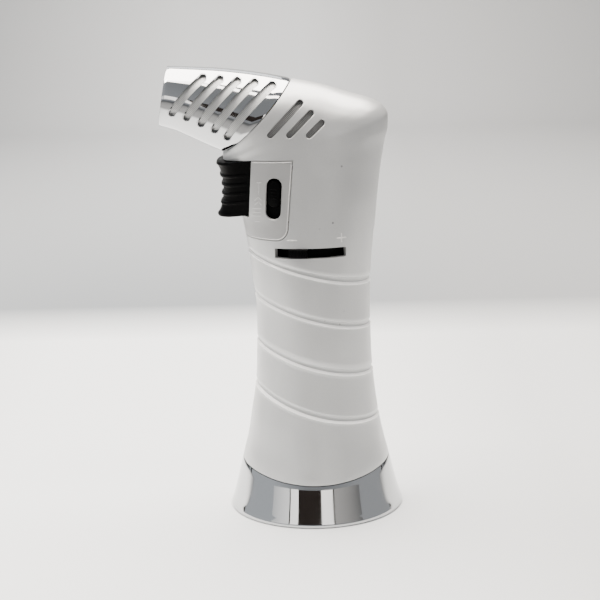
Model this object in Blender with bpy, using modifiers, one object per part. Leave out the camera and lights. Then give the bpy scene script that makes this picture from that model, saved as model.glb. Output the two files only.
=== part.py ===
"""Hand-held gas torch: curved two-part body, chrome foot and slotted nozzle shroud,
finger trigger with piezo, lock slider, flame lever, fuel tank, valves and burner.

Metres, +Z up. The origin is the middle of the foot on the surface it stands on.
The nozzle points to -X, and -Y is the side with the lock slider and the flame lever.
Lengths below are written in millimetres and multiplied by MM when a mesh is made.
"""

import math

import bmesh
import bpy
from mathutils import Matrix, Vector

MM = 0.001
GAP = 0.3

# Driving dimensions
BASE_RADIUS = 33.0
SEAM_RADIUS = 28.1
SEAM_HEIGHT = 19.1
SEAM_SAG = 4.1
SHELL_WALL = 1.8
HOUSING_WALL = 1.2
SHROUD_WALL = 1.6
SCREEN_WALL = 0.5
GROOVE_DEPTH = 0.5
GROOVE_HALF = 0.7
SPLIT = 0.15

# Outlines of the grip: height, then distance in front of and behind the axis
FRONT_OUTLINE = [(0, 33.0), (19.1, 28.1), (28, 25.8), (38, 24.1), (48, 22.4), (59, 21.7), (70, 21.3),
                 (80, 21.4), (90, 22.5), (101, 23.8), (112, 25.5)]
REAR_OUTLINE = [(0, 33.0), (19.1, 28.1), (28, 25.9), (39, 23.9), (55, 22.2), (72, 21.7), (89, 21.9),
                (100, 22.7), (112, 24.1)]
HALF_WIDTH = [(0, 33.0), (19.1, 28.1), (28, 26.0), (38, 24.2), (56, 22.1), (72, 21.6), (90, 21.5),
              (101, 21.2), (112, 20.6)]
GRIP_SQUARENESS = [(19.1, 2.0), (90, 2.0), (112, 2.35)]
RING_TILT = [(19.1, 0.0), (43, -0.284), (60, -0.28), (78, -0.282), (94.6, -0.257), (112, 0.0)]
RING_SAG = [(19.1, 4.1), (43, 2.3), (60, 1.4), (78, 1.1), (94.6, 1.3), (112, 0.0)]
GROOVE_HEIGHTS = (43.1, 60.2, 77.9, 94.6)
PLAIN_HEIGHTS = (19.1, 23.5, 30, 37, 51.5, 69, 86, 100, 106.5)

# Sections that fan round the corner under the nozzle:
# front x, z, rear x, z, half width, squareness, sag
HEAD = [
    (-25.5, 112.1, 24.1, 112.0, 20.6, 2.35, 0.0),
    (-28.0, 121.0, 25.1, 122.0, 20.1, 2.60, 0.0),
    (-30.4, 129.0, 26.3, 131.5, 19.8, 2.60, 0.0),
    (-31.9, 133.2, 27.9, 140.3, 19.6, 2.50, 0.1),
    (-32.2, 134.2, 29.1, 145.6, 19.4, 2.50, 0.2),
    (-32.3, 134.7, 29.2, 149.4, 19.3, 2.50, 0.4),
    (-32.4, 135.1, 27.4, 152.8, 19.2, 2.45, 0.6),
    (-32.4, 135.5, 23.5, 155.2, 19.1, 2.40, 0.8),
    (-32.4, 135.9, 14.4, 158.1, 18.9, 2.30, 1.0),
    (-32.3, 136.3, 5.2, 161.1, 18.7, 2.15, 1.2),
    (-32.2, 136.8, -6.0, 163.6, 18.4, 2.05, 1.4),
]
SHROUD = [
    (-32.0, 137.2, -6.6, 163.7, 18.3, 2.05, 1.4),
    (-35.2, 138.6, -16.0, 165.6, 17.3, 2.0, 1.3),
    (-38.3, 140.0, -25.1, 167.0, 16.0, 2.0, 1.1),
    (-44.3, 142.9, -34.3, 168.0, 14.4, 2.0, 0.8),
    (-50.4, 145.7, -43.4, 168.6, 12.7, 2.0, 0.4),
    (-55.5, 147.2, -51.7, 169.0, 11.1, 2.0, 0.0),
]

# Slots: upper and lower end of each centre line as x, z
SHROUD_SLOTS = [((-38.3, 165.2), (-49.8, 153.0)), ((-32.1, 164.6), (-44.5, 151.4)),
                ((-25.7, 164.0), (-39.3, 149.2)), ((-19.4, 163.3), (-34.4, 146.9)),
                ((-13.0, 162.2), (-29.9, 144.2))]
SHROUD_SLOT_WIDTH = 2.4
VENTS = [((-3.2, 155.9), (-14.2, 145.0)), ((0.6, 152.4), (-7.3, 144.9)), ((4.4, 149.0), (-0.2, 144.7))]
VENT_WIDTH = 2.3

# Flame lever slot and the axis of the outlet valve
VALVE_X = -0.5
LEVER_Z = 101.6
SLOT_HALF_HEIGHT = 1.7
SLOT_FROM, SLOT_TO = -13.7, 12.7
LEVER_REST = math.radians(-12.5)

# Trigger; the ribs are placed by their share of its height, from the lower edge up
PRESS_TILT = math.radians(5.0)
TRIGGER_HALF_WIDTHS = (9.7, 14.8)
TRIGGER_FRONT, TRIGGER_SHOULDER, TRIGGER_REAR = -34.75, -24.4, -17.5
TRIGGER_HOLLOW = 2.3
TRIGGER_RIBS = (0.254, 0.418, 0.582, 0.746)
RIB_HEIGHT, RIB_FOOT, RIB_CREST = 0.55, 0.042, 0.024

# Lock slider
LOCK_X, LOCK_Z = -13.6, 121.7
LOCK_TILT = math.radians(3.4)
LOCK_SLOT_LENGTH, LOCK_SLOT_WIDTH = 15.2, 5.5
LOCK_BUTTON_RISE = 1.9

# Burner axis, from the middle of the shroud's mouth inwards
MOUTH_X, MOUTH_Z = -53.6, 158.1
BURNER_TILT = math.radians(9.9)

# Other axes
FILL_X = 11.0
ROCKER_X, ROCKER_Z = 10.5, 108.8
PIEZO_Z = 127.0
SCREWS = [(19.5, 126.0), (-14.0, 93.0), (14.0, 150.5)]
BASE_SCREW_RADIUS = 23.5


# ---------------------------------------------------------------- helpers

def clear_scene():
    for old in list(bpy.data.objects):
        bpy.data.objects.remove(old, do_unlink=True)


def make_collection(name):
    collection = bpy.data.collections.new(name)
    bpy.context.scene.collection.children.link(collection)
    return collection


def make_material(name, colour, roughness, metallic):
    material = bpy.data.materials.new(name)
    material.use_nodes = True
    shader = material.node_tree.nodes["Principled BSDF"]
    shader.inputs["Base Color"].default_value = (*colour, 1.0)
    shader.inputs["Roughness"].default_value = roughness
    shader.inputs["Metallic"].default_value = metallic
    return material


clear_scene()
TORCH = make_collection("hand_torch")
CUTTERS = make_collection("cutters")
SILVER = ((0.62, 0.61, 0.59), 0.38, 0.6)
PANEL = ((0.60, 0.60, 0.60), 0.45, 0.2)
CHROME = ((0.80, 0.80, 0.80), 0.06, 1.0)
BLACK = ((0.012, 0.012, 0.013), 0.42, 0.0)
MESH_LIGHT = ((0.45, 0.45, 0.45), 0.5, 0.6)
MESH_DARK = ((0.14, 0.14, 0.14), 0.5, 0.6)
BRASS = ((0.72, 0.55, 0.28), 0.3, 1.0)
STEEL = ((0.55, 0.55, 0.56), 0.3, 1.0)
CLEAR_PLASTIC = ((0.72, 0.74, 0.75), 0.3, 0.0)
NATURAL_PLASTIC = ((0.80, 0.78, 0.70), 0.5, 0.0)
CERAMIC = ((0.85, 0.84, 0.80), 0.5, 0.0)
RED_WIRE = ((0.45, 0.05, 0.04), 0.5, 0.0)


def finish(piece, name, look):
    """Name a piece, move it to the torch's collection and give it its material."""
    piece.name = name
    piece.data.name = name
    for collection in list(piece.users_collection):
        collection.objects.unlink(piece)
    TORCH.objects.link(piece)
    piece.data.materials.clear()
    piece.data.materials.append(make_material(name, *look))
    return piece


def hide(cutter):
    """Keep an object as a cutter only."""
    for collection in list(cutter.users_collection):
        collection.objects.unlink(cutter)
    CUTTERS.objects.link(cutter)
    cutter.hide_render = True
    cutter.display_type = "WIRE"
    return cutter


def new_object(name, bm):
    """Turn a bmesh written in millimetres into an object in metres."""
    bmesh.ops.transform(bm, matrix=Matrix.Scale(MM, 4), verts=bm.verts)
    bmesh.ops.recalc_face_normals(bm, faces=bm.faces)
    mesh = bpy.data.meshes.new(name)
    bm.to_mesh(mesh)
    bm.free()
    piece = bpy.data.objects.new(name, mesh)
    bpy.context.scene.collection.objects.link(piece)
    return piece


def smooth(piece, angle=35):
    piece.data.shade_smooth()
    piece.data.set_sharp_from_angle(angle=math.radians(angle))
    return piece


def combine(piece, other, operation):
    boolean = piece.modifiers.new(f"{operation.lower()} {other.name}", "BOOLEAN")
    boolean.object = other
    boolean.operation = operation
    boolean.solver = "EXACT"
    return piece


def cut(piece, *others):
    for other in others:
        combine(piece, hide(other), "DIFFERENCE")
    return piece


def join(piece, *others):
    for other in others:
        combine(piece, hide(other), "UNION")
    return piece


def keep_inside(piece, other):
    return combine(piece, hide(other), "INTERSECT")


def set_origin(piece, x, y, z):
    """Move the origin of a piece to a point on its joint's axis."""
    place = Vector((x, y, z)) * MM
    piece.data.transform(Matrix.Translation(-place))
    piece.location = place
    return piece


def loft(name, rows, wrap):
    """Bridge closed loops of equal length; wrap joins the last loop to the first."""
    bm = bmesh.new()
    loops = [[bm.verts.new(point) for point in row] for row in rows]
    pairs = list(zip(loops, loops[1:]))
    if wrap:
        pairs.append((loops[-1], loops[0]))
    for low, high in pairs:
        count = len(low)
        for i in range(count):
            bm.faces.new((low[i], low[(i + 1) % count], high[(i + 1) % count], high[i]))
    if not wrap:
        bm.faces.new(loops[0])
        bm.faces.new(loops[-1])
    return new_object(name, bm)


def turned(name, profile, steps, look=None, centre=(0.0, 0.0, 0.0), turn=None):
    """Turn a profile of radius and height about Z, then place and rotate it."""
    mesh = bpy.data.meshes.new(name)
    points = [(radius * MM, 0.0, height * MM) for radius, height in profile]
    edges = [(i, i + 1) for i in range(len(points) - 1)]
    if profile[0][0] > 0.0:
        edges.append((len(points) - 1, 0))
    mesh.from_pydata(points, edges, [])
    piece = bpy.data.objects.new(name, mesh)
    bpy.context.scene.collection.objects.link(piece)
    screw = piece.modifiers.new("turn", "SCREW")
    screw.axis = "Z"
    screw.steps = steps
    screw.render_steps = steps
    screw.use_merge_vertices = True
    screw.merge_threshold = 0.00001
    screw.use_smooth_shade = True
    piece.location = Vector(centre) * MM
    if turn is not None:
        piece.rotation_euler = turn
    if look is not None:
        finish(piece, name, look)
    return piece


def rod(name, radius, start, end, steps, look=None):
    """A solid round bar between two points."""
    start, end = Vector(start), Vector(end)
    along = end - start
    piece = turned(name, [(0, along.length), (radius, along.length), (radius, 0), (0, 0)], steps, look, start)
    piece.rotation_euler = along.to_track_quat("Z", "Y").to_euler()
    return piece


def sleeve(name, outer, inner, start, end, steps, look=None):
    """A round tube between two points."""
    start, end = Vector(start), Vector(end)
    along = end - start
    profile = [(outer, along.length), (outer, 0), (inner, 0), (inner, along.length)]
    piece = turned(name, profile, steps, look, start)
    piece.rotation_euler = along.to_track_quat("Z", "Y").to_euler()
    return piece


def block(name, low, high, look=None):
    """A box between two corners."""
    bpy.ops.mesh.primitive_cube_add(size=1.0)
    piece = bpy.context.object
    low, high = Vector(low), Vector(high)
    size = (high - low) * MM
    piece.data.transform(Matrix.Diagonal((*size, 1.0)))
    piece.location = (low + high) * 0.5 * MM
    piece.name = name
    if look is not None:
        finish(piece, name, look)
    return piece


def side_prism(name, outline, y_from, y_to):
    """A flat outline of x, z points, extruded along Y and made a mesh."""
    curve = bpy.data.curves.new(name, "CURVE")
    curve.dimensions = "2D"
    curve.fill_mode = "BOTH"
    curve.extrude = abs(y_to - y_from) * 0.5 * MM
    spline = curve.splines.new("POLY")
    spline.points.add(len(outline) - 1)
    for point, (x, z) in zip(spline.points, outline):
        point.co = (x * MM, z * MM, 0.0, 1.0)
    spline.use_cyclic_u = True
    source = bpy.data.objects.new(name, curve)
    bpy.context.scene.collection.objects.link(source)
    source.rotation_euler = (math.radians(90), 0.0, 0.0)
    source.location = (0.0, (y_from + y_to) * 0.5 * MM, 0.0)
    bpy.context.view_layer.update()
    evaluated = source.evaluated_get(bpy.context.evaluated_depsgraph_get())
    mesh = bpy.data.meshes.new_from_object(evaluated)
    piece = bpy.data.objects.new(name, mesh)
    piece.matrix_world = source.matrix_world
    bpy.context.scene.collection.objects.link(piece)
    bpy.data.objects.remove(source, do_unlink=True)
    bm = bmesh.new()
    bm.from_mesh(mesh)
    bmesh.ops.remove_doubles(bm, verts=bm.verts, dist=0.000001)
    bmesh.ops.recalc_face_normals(bm, faces=bm.faces)
    bm.to_mesh(mesh)
    bm.free()
    return piece


def capsule(start, end, width, steps=6):
    """Outline of a slot with round ends between two points."""
    (x0, z0), (x1, z1) = start, end
    heading = math.atan2(z1 - z0, x1 - x0)
    radius = width * 0.5
    points = []
    for (x, z), first in (((x1, z1), heading - math.pi / 2), ((x0, z0), heading + math.pi / 2)):
        for i in range(steps + 1):
            angle = first + math.pi * i / steps
            points.append((x + radius * math.cos(angle), z + radius * math.sin(angle)))
    return points


def joined_prisms(name, outlines, y_from, y_to):
    """Several prisms in one cutter."""
    parts = [side_prism(name, outline, y_from, y_to) for outline in outlines]
    bm = bmesh.new()
    for part in parts:
        mesh = part.data.copy()
        mesh.transform(part.matrix_world)
        bm.from_mesh(mesh)
        bpy.data.objects.remove(part, do_unlink=True)
    mesh = bpy.data.meshes.new(name)
    bm.to_mesh(mesh)
    bm.free()
    piece = bpy.data.objects.new(name, mesh)
    bpy.context.scene.collection.objects.link(piece)
    return piece


def wire(name, route, radius, look, resolution=1, steps=4):
    """A round wire along a smooth curve through a route's points."""
    points = smooth_route(route, steps)
    curve = bpy.data.curves.new(name, "CURVE")
    curve.dimensions = "3D"
    curve.bevel_depth = radius * MM
    curve.bevel_resolution = resolution
    curve.use_fill_caps = True
    spline = curve.splines.new("POLY")
    spline.points.add(len(points) - 1)
    for target, point in zip(spline.points, points):
        target.co = (*(point * MM), 1.0)
    piece = bpy.data.objects.new(name, curve)
    bpy.context.scene.collection.objects.link(piece)
    return finish(piece, name, look)


def smooth_route(route, steps):
    """Catmull-Rom points through a route."""
    knots = [Vector(p) for p in route]
    if steps == 1:
        return knots
    padded = [knots[0] * 2 - knots[1], *knots, knots[-1] * 2 - knots[-2]]
    points = []
    for a, b, c, d in zip(padded, padded[1:], padded[2:], padded[3:]):
        for i in range(steps):
            t = i / steps
            points.append(0.5 * (2 * b + (c - a) * t + (2 * a - 5 * b + 4 * c - d) * t * t
                                 + (3 * b - a - 3 * c + d) * t ** 3))
    points.append(knots[-1])
    return points


def helix(start, end, radius, turns, per_turn=8):
    """Points of a coil whose axis runs from start to end."""
    start, end = Vector(start), Vector(end)
    along = end - start
    frame = along.to_track_quat("Z", "Y")
    count = turns * per_turn
    points = []
    for i in range(count + 1):
        angle = 2 * math.pi * i / per_turn
        rise = along.length * i / count
        points.append(start + frame @ Vector((radius * math.cos(angle), radius * math.sin(angle), rise)))
    return points


# ---------------------------------------------------------------- body surface

def along_table(table, at):
    """Smooth value through a table of place and value."""
    last = len(table) - 1
    i = 0
    while i < last - 1 and at > table[i + 1][0]:
        i += 1
    (x0, y0), (x1, y1) = table[i], table[i + 1]
    span = x1 - x0
    slope = (y1 - y0) / span
    before = slope if i == 0 else (y1 - table[i - 1][1]) / (x1 - table[i - 1][0])
    after = slope if i + 1 == last else (table[i + 2][1] - y0) / (table[i + 2][0] - x0)
    t = min(max((at - x0) / span, 0.0), 1.0)
    return ((1 + 2 * t) * (1 - t) ** 2 * y0 + t * (1 - t) ** 2 * span * before
            + t * t * (3 - 2 * t) * y1 + t * t * (t - 1) * span * after)


def grip_section(height, inset=0.0):
    """Section of the grip whose middle is at a height, tilted as the grooves are."""
    tilt = along_table(RING_TILT, height)
    front_z = height - tilt * along_table(FRONT_OUTLINE, height)
    front_z = height - tilt * along_table(FRONT_OUTLINE, front_z)
    rear_z = height + tilt * along_table(REAR_OUTLINE, height)
    rear_z = height + tilt * along_table(REAR_OUTLINE, rear_z)
    return (-along_table(FRONT_OUTLINE, front_z) + inset, front_z,
            along_table(REAR_OUTLINE, rear_z) - inset, rear_z,
            along_table(HALF_WIDTH, height) - inset, along_table(GRIP_SQUARENESS, height),
            along_table(RING_SAG, height))


def inset_section(section, inset):
    front_x, front_z, rear_x, rear_z, width, squareness, sag = section
    across = Vector((rear_x - front_x, rear_z - front_z)).normalized() * inset
    return (front_x + across.x, front_z + across.y, rear_x - across.x, rear_z - across.y,
            width - inset, squareness, sag)


def section_points(section, angles):
    """Points of a superellipse between the front point and the rear point."""
    front_x, front_z, rear_x, rear_z, width, squareness, sag = section
    half = Vector((rear_x - front_x, rear_z - front_z)) * 0.5
    middle = Vector((front_x, front_z)) + half
    unit = half.normalized()
    power = 2.0 / squareness
    points = []
    for angle in angles:
        c, s = math.cos(angle), math.sin(angle)
        reach = math.copysign(abs(c) ** power, c)
        side = math.copysign(abs(s) ** power, s)
        drop = sag * side * side
        points.append(Vector((middle.x + half.x * reach + unit.y * drop, width * side,
                              middle.y + half.y * reach - unit.x * drop)))
    return points


def full_turn(count):
    return [2 * math.pi * i / count for i in range(count)]


def grip_sections(grooves):
    """All sections of the grip from the foot's seam up, with the sunk rings if asked."""
    entries = [(height, 0.0) for height in PLAIN_HEIGHTS]
    for height in GROOVE_HEIGHTS:
        depth = GROOVE_DEPTH if grooves else 0.0
        entries += [(height - GROOVE_HALF, 0.0), (height, depth), (height + GROOVE_HALF, 0.0)]
    return [grip_section(height, depth) for height, depth in sorted(entries)]


def band(name, sections, outer_inset, inner_inset, count):
    """A closed ring of wall that follows the body surface between two depths."""
    angles = full_turn(count)
    rows = [section_points(inset_section(s, outer_inset), angles) for s in sections]
    rows += [section_points(inset_section(s, inner_inset), angles) for s in reversed(sections)]
    return loft(name, rows, wrap=True)


def solid_hull(name, inset, count=24):
    """The inside of the body as one solid, for trimming the screw bosses."""
    sections = grip_sections(grooves=False) + HEAD[1:]
    angles = full_turn(count)
    return loft(name, [section_points(inset_section(s, inset), angles) for s in sections], wrap=False)


def half_shell(name, side, count=14):
    """One half of the body: side is -1 for the left half, 1 for the right half."""
    angles = [math.pi * (1 + i / count) for i in range(count + 1)]
    outer = grip_sections(grooves=True) + HEAD[1:]
    inner = grip_sections(grooves=False) + HEAD[1:]
    rows = []
    for outside, inside in zip(outer, inner):
        arc = section_points(outside, angles)
        back = section_points(inset_section(inside, SHELL_WALL), list(reversed(angles)))
        for point in (arc[0], arc[-1], back[0], back[-1]):
            point.y = -SPLIT
        rows.append([Vector((p.x, -side * p.y, p.z)) for p in arc + back])
    bm = bmesh.new()
    loops = [[bm.verts.new(p) for p in row] for row in rows]
    length = len(rows[0])
    for low, high in zip(loops, loops[1:]):
        for i in range(length):
            bm.faces.new((low[i], low[(i + 1) % length], high[(i + 1) % length], high[i]))
    for loop in (loops[0], loops[-1]):
        for i in range(count):
            bm.faces.new((loop[i], loop[i + 1], loop[length - 2 - i], loop[length - 1 - i]))
    return smooth(new_object(name, bm))


def panel_outline(grow):
    """Side view of the trigger housing's outline, grown outwards."""
    corner_x, corner_z, radius = -13.3, 111.0, 4.7 + grow
    arc = []
    for i in range(7):
        angle = math.radians(-90 + 87 * i / 6)
        arc.append((corner_x + radius * math.cos(angle), corner_z + radius * math.sin(angle)))
    top = [(x, trigger_edge_z(x, "high") + 0.1 + grow) for x in (-21.2, -45.0)]
    return [(-45.0, 106.3 - grow), *arc, (-6.4 + grow, 135.5 + grow), *top]


# ---------------------------------------------------------------- body pieces

def bosses(name, side, radius, steps=12):
    """Screw bosses of one half, trimmed to the inside of the body."""
    posts = []
    for x, z in SCREWS:
        outline = [(x + radius * math.cos(a), z + radius * math.sin(a)) for a in full_turn(steps)]
        posts.append(outline)
    ends = sorted((side * GAP, side * 24.0))
    group = joined_prisms(name, posts, *ends)
    return keep_inside(group, solid_hull(f"{name}_limit", 0.9))


def round_cuts(name, radius, y_from, y_to, steps=12):
    outlines = [[(x + radius * math.cos(a), z + radius * math.sin(a)) for a in full_turn(steps)]
                for x, z in SCREWS]
    return joined_prisms(name, outlines, y_from, y_to)


def make_shells():
    vents = [capsule(a, b, VENT_WIDTH) for a, b in VENTS]
    panel = panel_outline(GAP)
    left = half_shell("left_shell", -1)
    join(left, bosses("left_bosses", -1, 3.0))
    cut(left, side_prism("left_panel_cut", panel, -26, 1), joined_prisms("left_vents", vents, -26, -5),
        round_cuts("left_pilots", 1.15, -8.5, 1))
    slot = block("slot_cut", (SLOT_FROM, -30, LEVER_Z - SLOT_HALF_HEIGHT),
                 (SLOT_TO, -9, LEVER_Z + SLOT_HALF_HEIGHT))
    cut(left, slot)
    right = half_shell("right_shell", 1)
    join(right, bosses("right_bosses", 1, 4.2))
    cut(right, side_prism("right_panel_cut", panel, -1, 26), joined_prisms("right_vents", vents, 5, 26),
        round_cuts("right_clearance", 1.4, -1, 26), round_cuts("right_wells", 3.0, 4.5, 26))
    return finish(left, "left_shell", SILVER), finish(right, "right_shell", SILVER)


def make_shell_screws():
    head, shank = 2.7, 1.1
    for number, (x, z) in enumerate(SCREWS, 1):
        profile = [(0, 6.6), (head * 0.7, 6.6), (head, 6.0), (head, 4.8), (shank, 4.8), (shank, -8.0),
                   (0, -8.2)]
        screw = turned(f"shell_screw_{number}", profile, 14, STEEL, (x, 0, z))
        screw.rotation_euler = (math.radians(-90), 0, 0)


def make_housing():
    sections = [grip_section(h) for h in (98.5, 103, 107.5)] + HEAD[:9]
    housing = smooth(band("trigger_housing", sections, 0.0, HOUSING_WALL, 56))
    opening = [(-50, trigger_edge_z(-50, "low") - GAP), (-22.9, trigger_edge_z(-22.9, "low") - GAP),
               (-21.1, 140.0), (-50, 140.0)]
    slot = capsule(lock_point(-LOCK_SLOT_LENGTH / 2 + LOCK_SLOT_WIDTH / 2),
                   lock_point(LOCK_SLOT_LENGTH / 2 - LOCK_SLOT_WIDTH / 2), LOCK_SLOT_WIDTH, 8)
    cut(housing, side_prism("trigger_opening", opening, -27, 27), side_prism("lock_slot", slot, -26, -8))
    keep_inside(housing, side_prism("panel_limit", panel_outline(0.0), -25, 25))
    return finish(housing, "trigger_housing", PANEL)


def make_screens():
    sections = SHROUD[:5]
    screen = band("shroud_screen", sections, SHROUD_WALL + GAP, SHROUD_WALL + GAP + SCREEN_WALL, 32)
    finish(smooth(screen), "shroud_screen", MESH_LIGHT)
    for name, side in (("left", -1), ("right", 1)):
        depth = SHELL_WALL + GAP
        piece = band(f"vent_screen_{name}", HEAD[3:], depth, depth + SCREEN_WALL, 48)
        outline = [(-17.5, 142.4), (7.8, 142.4), (7.8, 151.5), (-2.0, 159.5), (-6.5, 157.5), (-17.5, 146.6)]
        keep_inside(piece, side_prism(f"{name}_screen_limit", outline, *sorted((side * 6.0, side * 24.0))))
        finish(smooth(piece), f"vent_screen_{name}", MESH_DARK)


def make_shroud():
    shroud = smooth(band("nozzle_shroud", SHROUD, 0.0, SHROUD_WALL, 28))
    outlines = [capsule(a, b, SHROUD_SLOT_WIDTH, 4) for a, b in SHROUD_SLOTS]
    cut(shroud, joined_prisms("shroud_slots", outlines, -24, 24))
    return finish(shroud, "nozzle_shroud", CHROME)


def make_base():
    """Foot ring with a saddle-shaped upper edge and a collar that goes up inside the body."""
    top = SEAM_HEIGHT - GAP
    profile = [(32.6, 0.0, 0.0), (BASE_RADIUS, 0.6, 0.0), (31.6, 5.0, 0.3), (30.3, 9.5, 1.2),
               (29.1, 14.5, 2.7), (SEAM_RADIUS + 0.05, top, SEAM_SAG), (25.6, top, SEAM_SAG),
               (24.5, top + 4.0, SEAM_SAG), (23.1, top + 4.0, SEAM_SAG), (23.6, 14.0, 1.0),
               (29.0, 6.5, 0.0), (30.4, 4.6, 0.0), (30.4, 0.0, 0.0)]
    rows = []
    for radius, height, sag in profile:
        rows.append([(radius * math.cos(a), radius * math.sin(a), height - sag * math.sin(a) ** 2)
                     for a in full_turn(36)])
    ring = smooth(loft("base_ring", rows, wrap=True), 30)
    finish(ring, "base_ring", CHROME)

    plate = turned("base_plate", [(0, 4.2), (30.1, 4.2), (30.1, 1.5), (0, 1.5)], 40, BLACK)
    pad = turned("foot_pad", [(0, 1.2), (29.8, 1.2), (29.8, 0.4), (29.4, 0.0), (0, 0.0)], 40, BLACK)
    for target, base_z in ((plate, 0.9), (pad, -1.0)):
        cut(target, rod(f"{target.name}_fill_hole", 4.8, (FILL_X, 0, base_z), (FILL_X, 0, 6), 20))
    for number in range(3):
        angle = math.radians(60 + 120 * number)
        x, y = BASE_SCREW_RADIUS * math.cos(angle), BASE_SCREW_RADIUS * math.sin(angle)
        cut(plate, rod(f"plate_hole_{number}", 1.5, (x, y, 0.9), (x, y, 6), 12))
        cut(pad, rod(f"pad_hole_{number}", 3.0, (x, y, -1), (x, y, 3), 14))
        profile = [(0, 9.0), (1.2, 8.8), (1.2, 1.2), (2.6, 1.2), (2.6, 0.5), (2.2, 0.2), (0, 0.2)]
        turned(f"base_screw_{number + 1}", profile, 14, STEEL, (x, y, 0))


# ---------------------------------------------------------------- controls

def trigger_edge_z(x, edge):
    """Height of the trigger's upper or lower edge, parallel to its travel."""
    slope = math.tan(PRESS_TILT)
    if edge == "high":
        return 134.1 + slope * (x + 34.4)
    return 113.3 + slope * (x + 34.8)


def trigger_front(share):
    """Front of the trigger in side view, from its lower to its upper edge: hollow, with ribs."""
    hollow = TRIGGER_HOLLOW * max(math.sin(math.pi * share), 0.0) ** 0.75
    away = min(abs(share - rib) for rib in TRIGGER_RIBS)
    rise = min(max((RIB_FOOT - away) / (RIB_FOOT - RIB_CREST), 0.0), 1.0)
    return TRIGGER_FRONT + hollow - RIB_HEIGHT * rise


def make_trigger():
    rows = []
    narrow, wide = TRIGGER_HALF_WIDTHS
    shares = [0.0, 0.03, 0.1, 0.16, 0.336, 0.5, 0.664, 0.84, 0.9, 0.97, 1.0]
    for rib in TRIGGER_RIBS:
        shares += [rib - RIB_FOOT, rib - RIB_CREST, rib + RIB_CREST, rib + RIB_FOOT]
    shares.sort()
    arc = [math.radians(-90 + 180 * i / 14) for i in range(15)]
    for share in shares:
        front = trigger_front(share) + (0.6 if share in (0.0, 1.0) else 0.0)
        half = narrow + (wide - narrow) * share
        row = []
        for angle in arc:
            reach = math.cos(angle) ** (2 / 2.7)
            side = math.copysign(abs(math.sin(angle)) ** (2 / 2.7), angle)
            row.append((TRIGGER_SHOULDER - (TRIGGER_SHOULDER - front) * reach, half * side))
        row += [(TRIGGER_REAR, half), (TRIGGER_REAR, -half)]
        rows.append([(x, y, trigger_edge_z(x, "low") * (1 - share) + trigger_edge_z(x, "high") * share)
                     for x, y in row])
    trigger = smooth(loft("trigger", rows, wrap=False))
    cavity_low, cavity_high = 117.2, 133.2
    cavity = side_prism("trigger_cavity", [(-29.0, cavity_low - 0.5), (-15, cavity_low + 0.7),
                                           (-15, cavity_high), (-29, cavity_high - 1.2)], -8.8, 8.8)
    cut(trigger, cavity)
    push = Vector((math.cos(PRESS_TILT), 0, math.sin(PRESS_TILT)))
    seat = Vector((0, 0, PIEZO_Z)) - push * 19.0
    boss = rod("trigger_boss", 3.2, seat - push * 12.0, seat, 16)
    arm = side_prism("trigger_arm", [(-20.5, 104.4), (-15.0, 104.4), (-15.0, 117.6), (-20.5, 117.6)],
                     -5.2, 5.2)
    ramp = [(-18.0, 104.8), (-4.8, 104.8), (-4.8, 105.9), (-12.9, 108.1), (-18.0, 108.1)]
    fingers = side_prism("trigger_finger_left", ramp, -4.9, -2.7)
    other = side_prism("trigger_finger_right", ramp, 2.7, 4.9)
    join(trigger, boss, arm, fingers, other)
    finish(trigger, "trigger", BLACK)
    return set_origin(trigger, -30, 0, 124)


def make_piezo():
    push = Vector((math.cos(PRESS_TILT), 0, math.sin(PRESS_TILT)))
    middle = Vector((0, 0, PIEZO_Z))
    body = rod("piezo_body", 4.8, middle - push * 4.0, middle + push * 14.0, 24, BLACK)
    cut(body, rod("piezo_bore", 3.3, middle - push * 6.0, middle + push * 8.5, 20))
    plunger = rod("piezo_plunger", 3.0, middle - push * 18.7, middle - push * 0.5, 20, NATURAL_PLASTIC)
    coil = helix(middle - push * 16.5, middle - push * 4.7, 4.2, 6)
    wire("trigger_spring", coil, 0.35, STEEL, 0, 1)
    return body, plunger


def lock_point(along):
    """Point on the lock slot's centre line, measured upwards from its middle."""
    return (LOCK_X + along * math.sin(LOCK_TILT), LOCK_Z + along * math.cos(LOCK_TILT))


def make_lock_slider():
    sections = [grip_section(107.5)] + HEAD[:6]
    plate = smooth(band("lock_slider", sections, HOUSING_WALL + 0.75, HOUSING_WALL + 1.5, 56))
    keep_inside(plate, side_prism("lock_plate_limit", [(-16.2, 113.6), (-9.9, 113.6), (-8.9, 134.2),
                                                       (-15.6, 134.2)], -24, -8))
    button = band("lock_button", sections, -0.1, HOUSING_WALL + 1.2, 56)
    low, high = LOCK_BUTTON_RISE - 2.6, LOCK_BUTTON_RISE + 2.6
    keep_inside(button, side_prism("lock_button_limit", capsule(lock_point(low), lock_point(high), 4.8, 8),
                                   -24, -8))
    join(plate, button)
    finish(plate, "lock_slider", BLACK)
    return set_origin(plate, LOCK_X, -18, LOCK_Z)


def around_valve(radius, angle, z):
    """Point at a radius about the valve's axis; angle 0 is towards -Y."""
    return (VALVE_X + radius * math.sin(angle), -radius * math.cos(angle), z)


def sector(name, inner, outer, half_angle, low, high, steps):
    """A curved block about the valve's axis, centred on the flame lever."""
    rows = []
    for i in range(steps + 1):
        angle = LEVER_REST - half_angle + 2 * half_angle * i / steps
        rows.append([around_valve(outer, angle, low), around_valve(outer, angle, high),
                     around_valve(inner, angle, high), around_valve(inner, angle, low)])
    return loft(name, rows, wrap=False)


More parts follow.
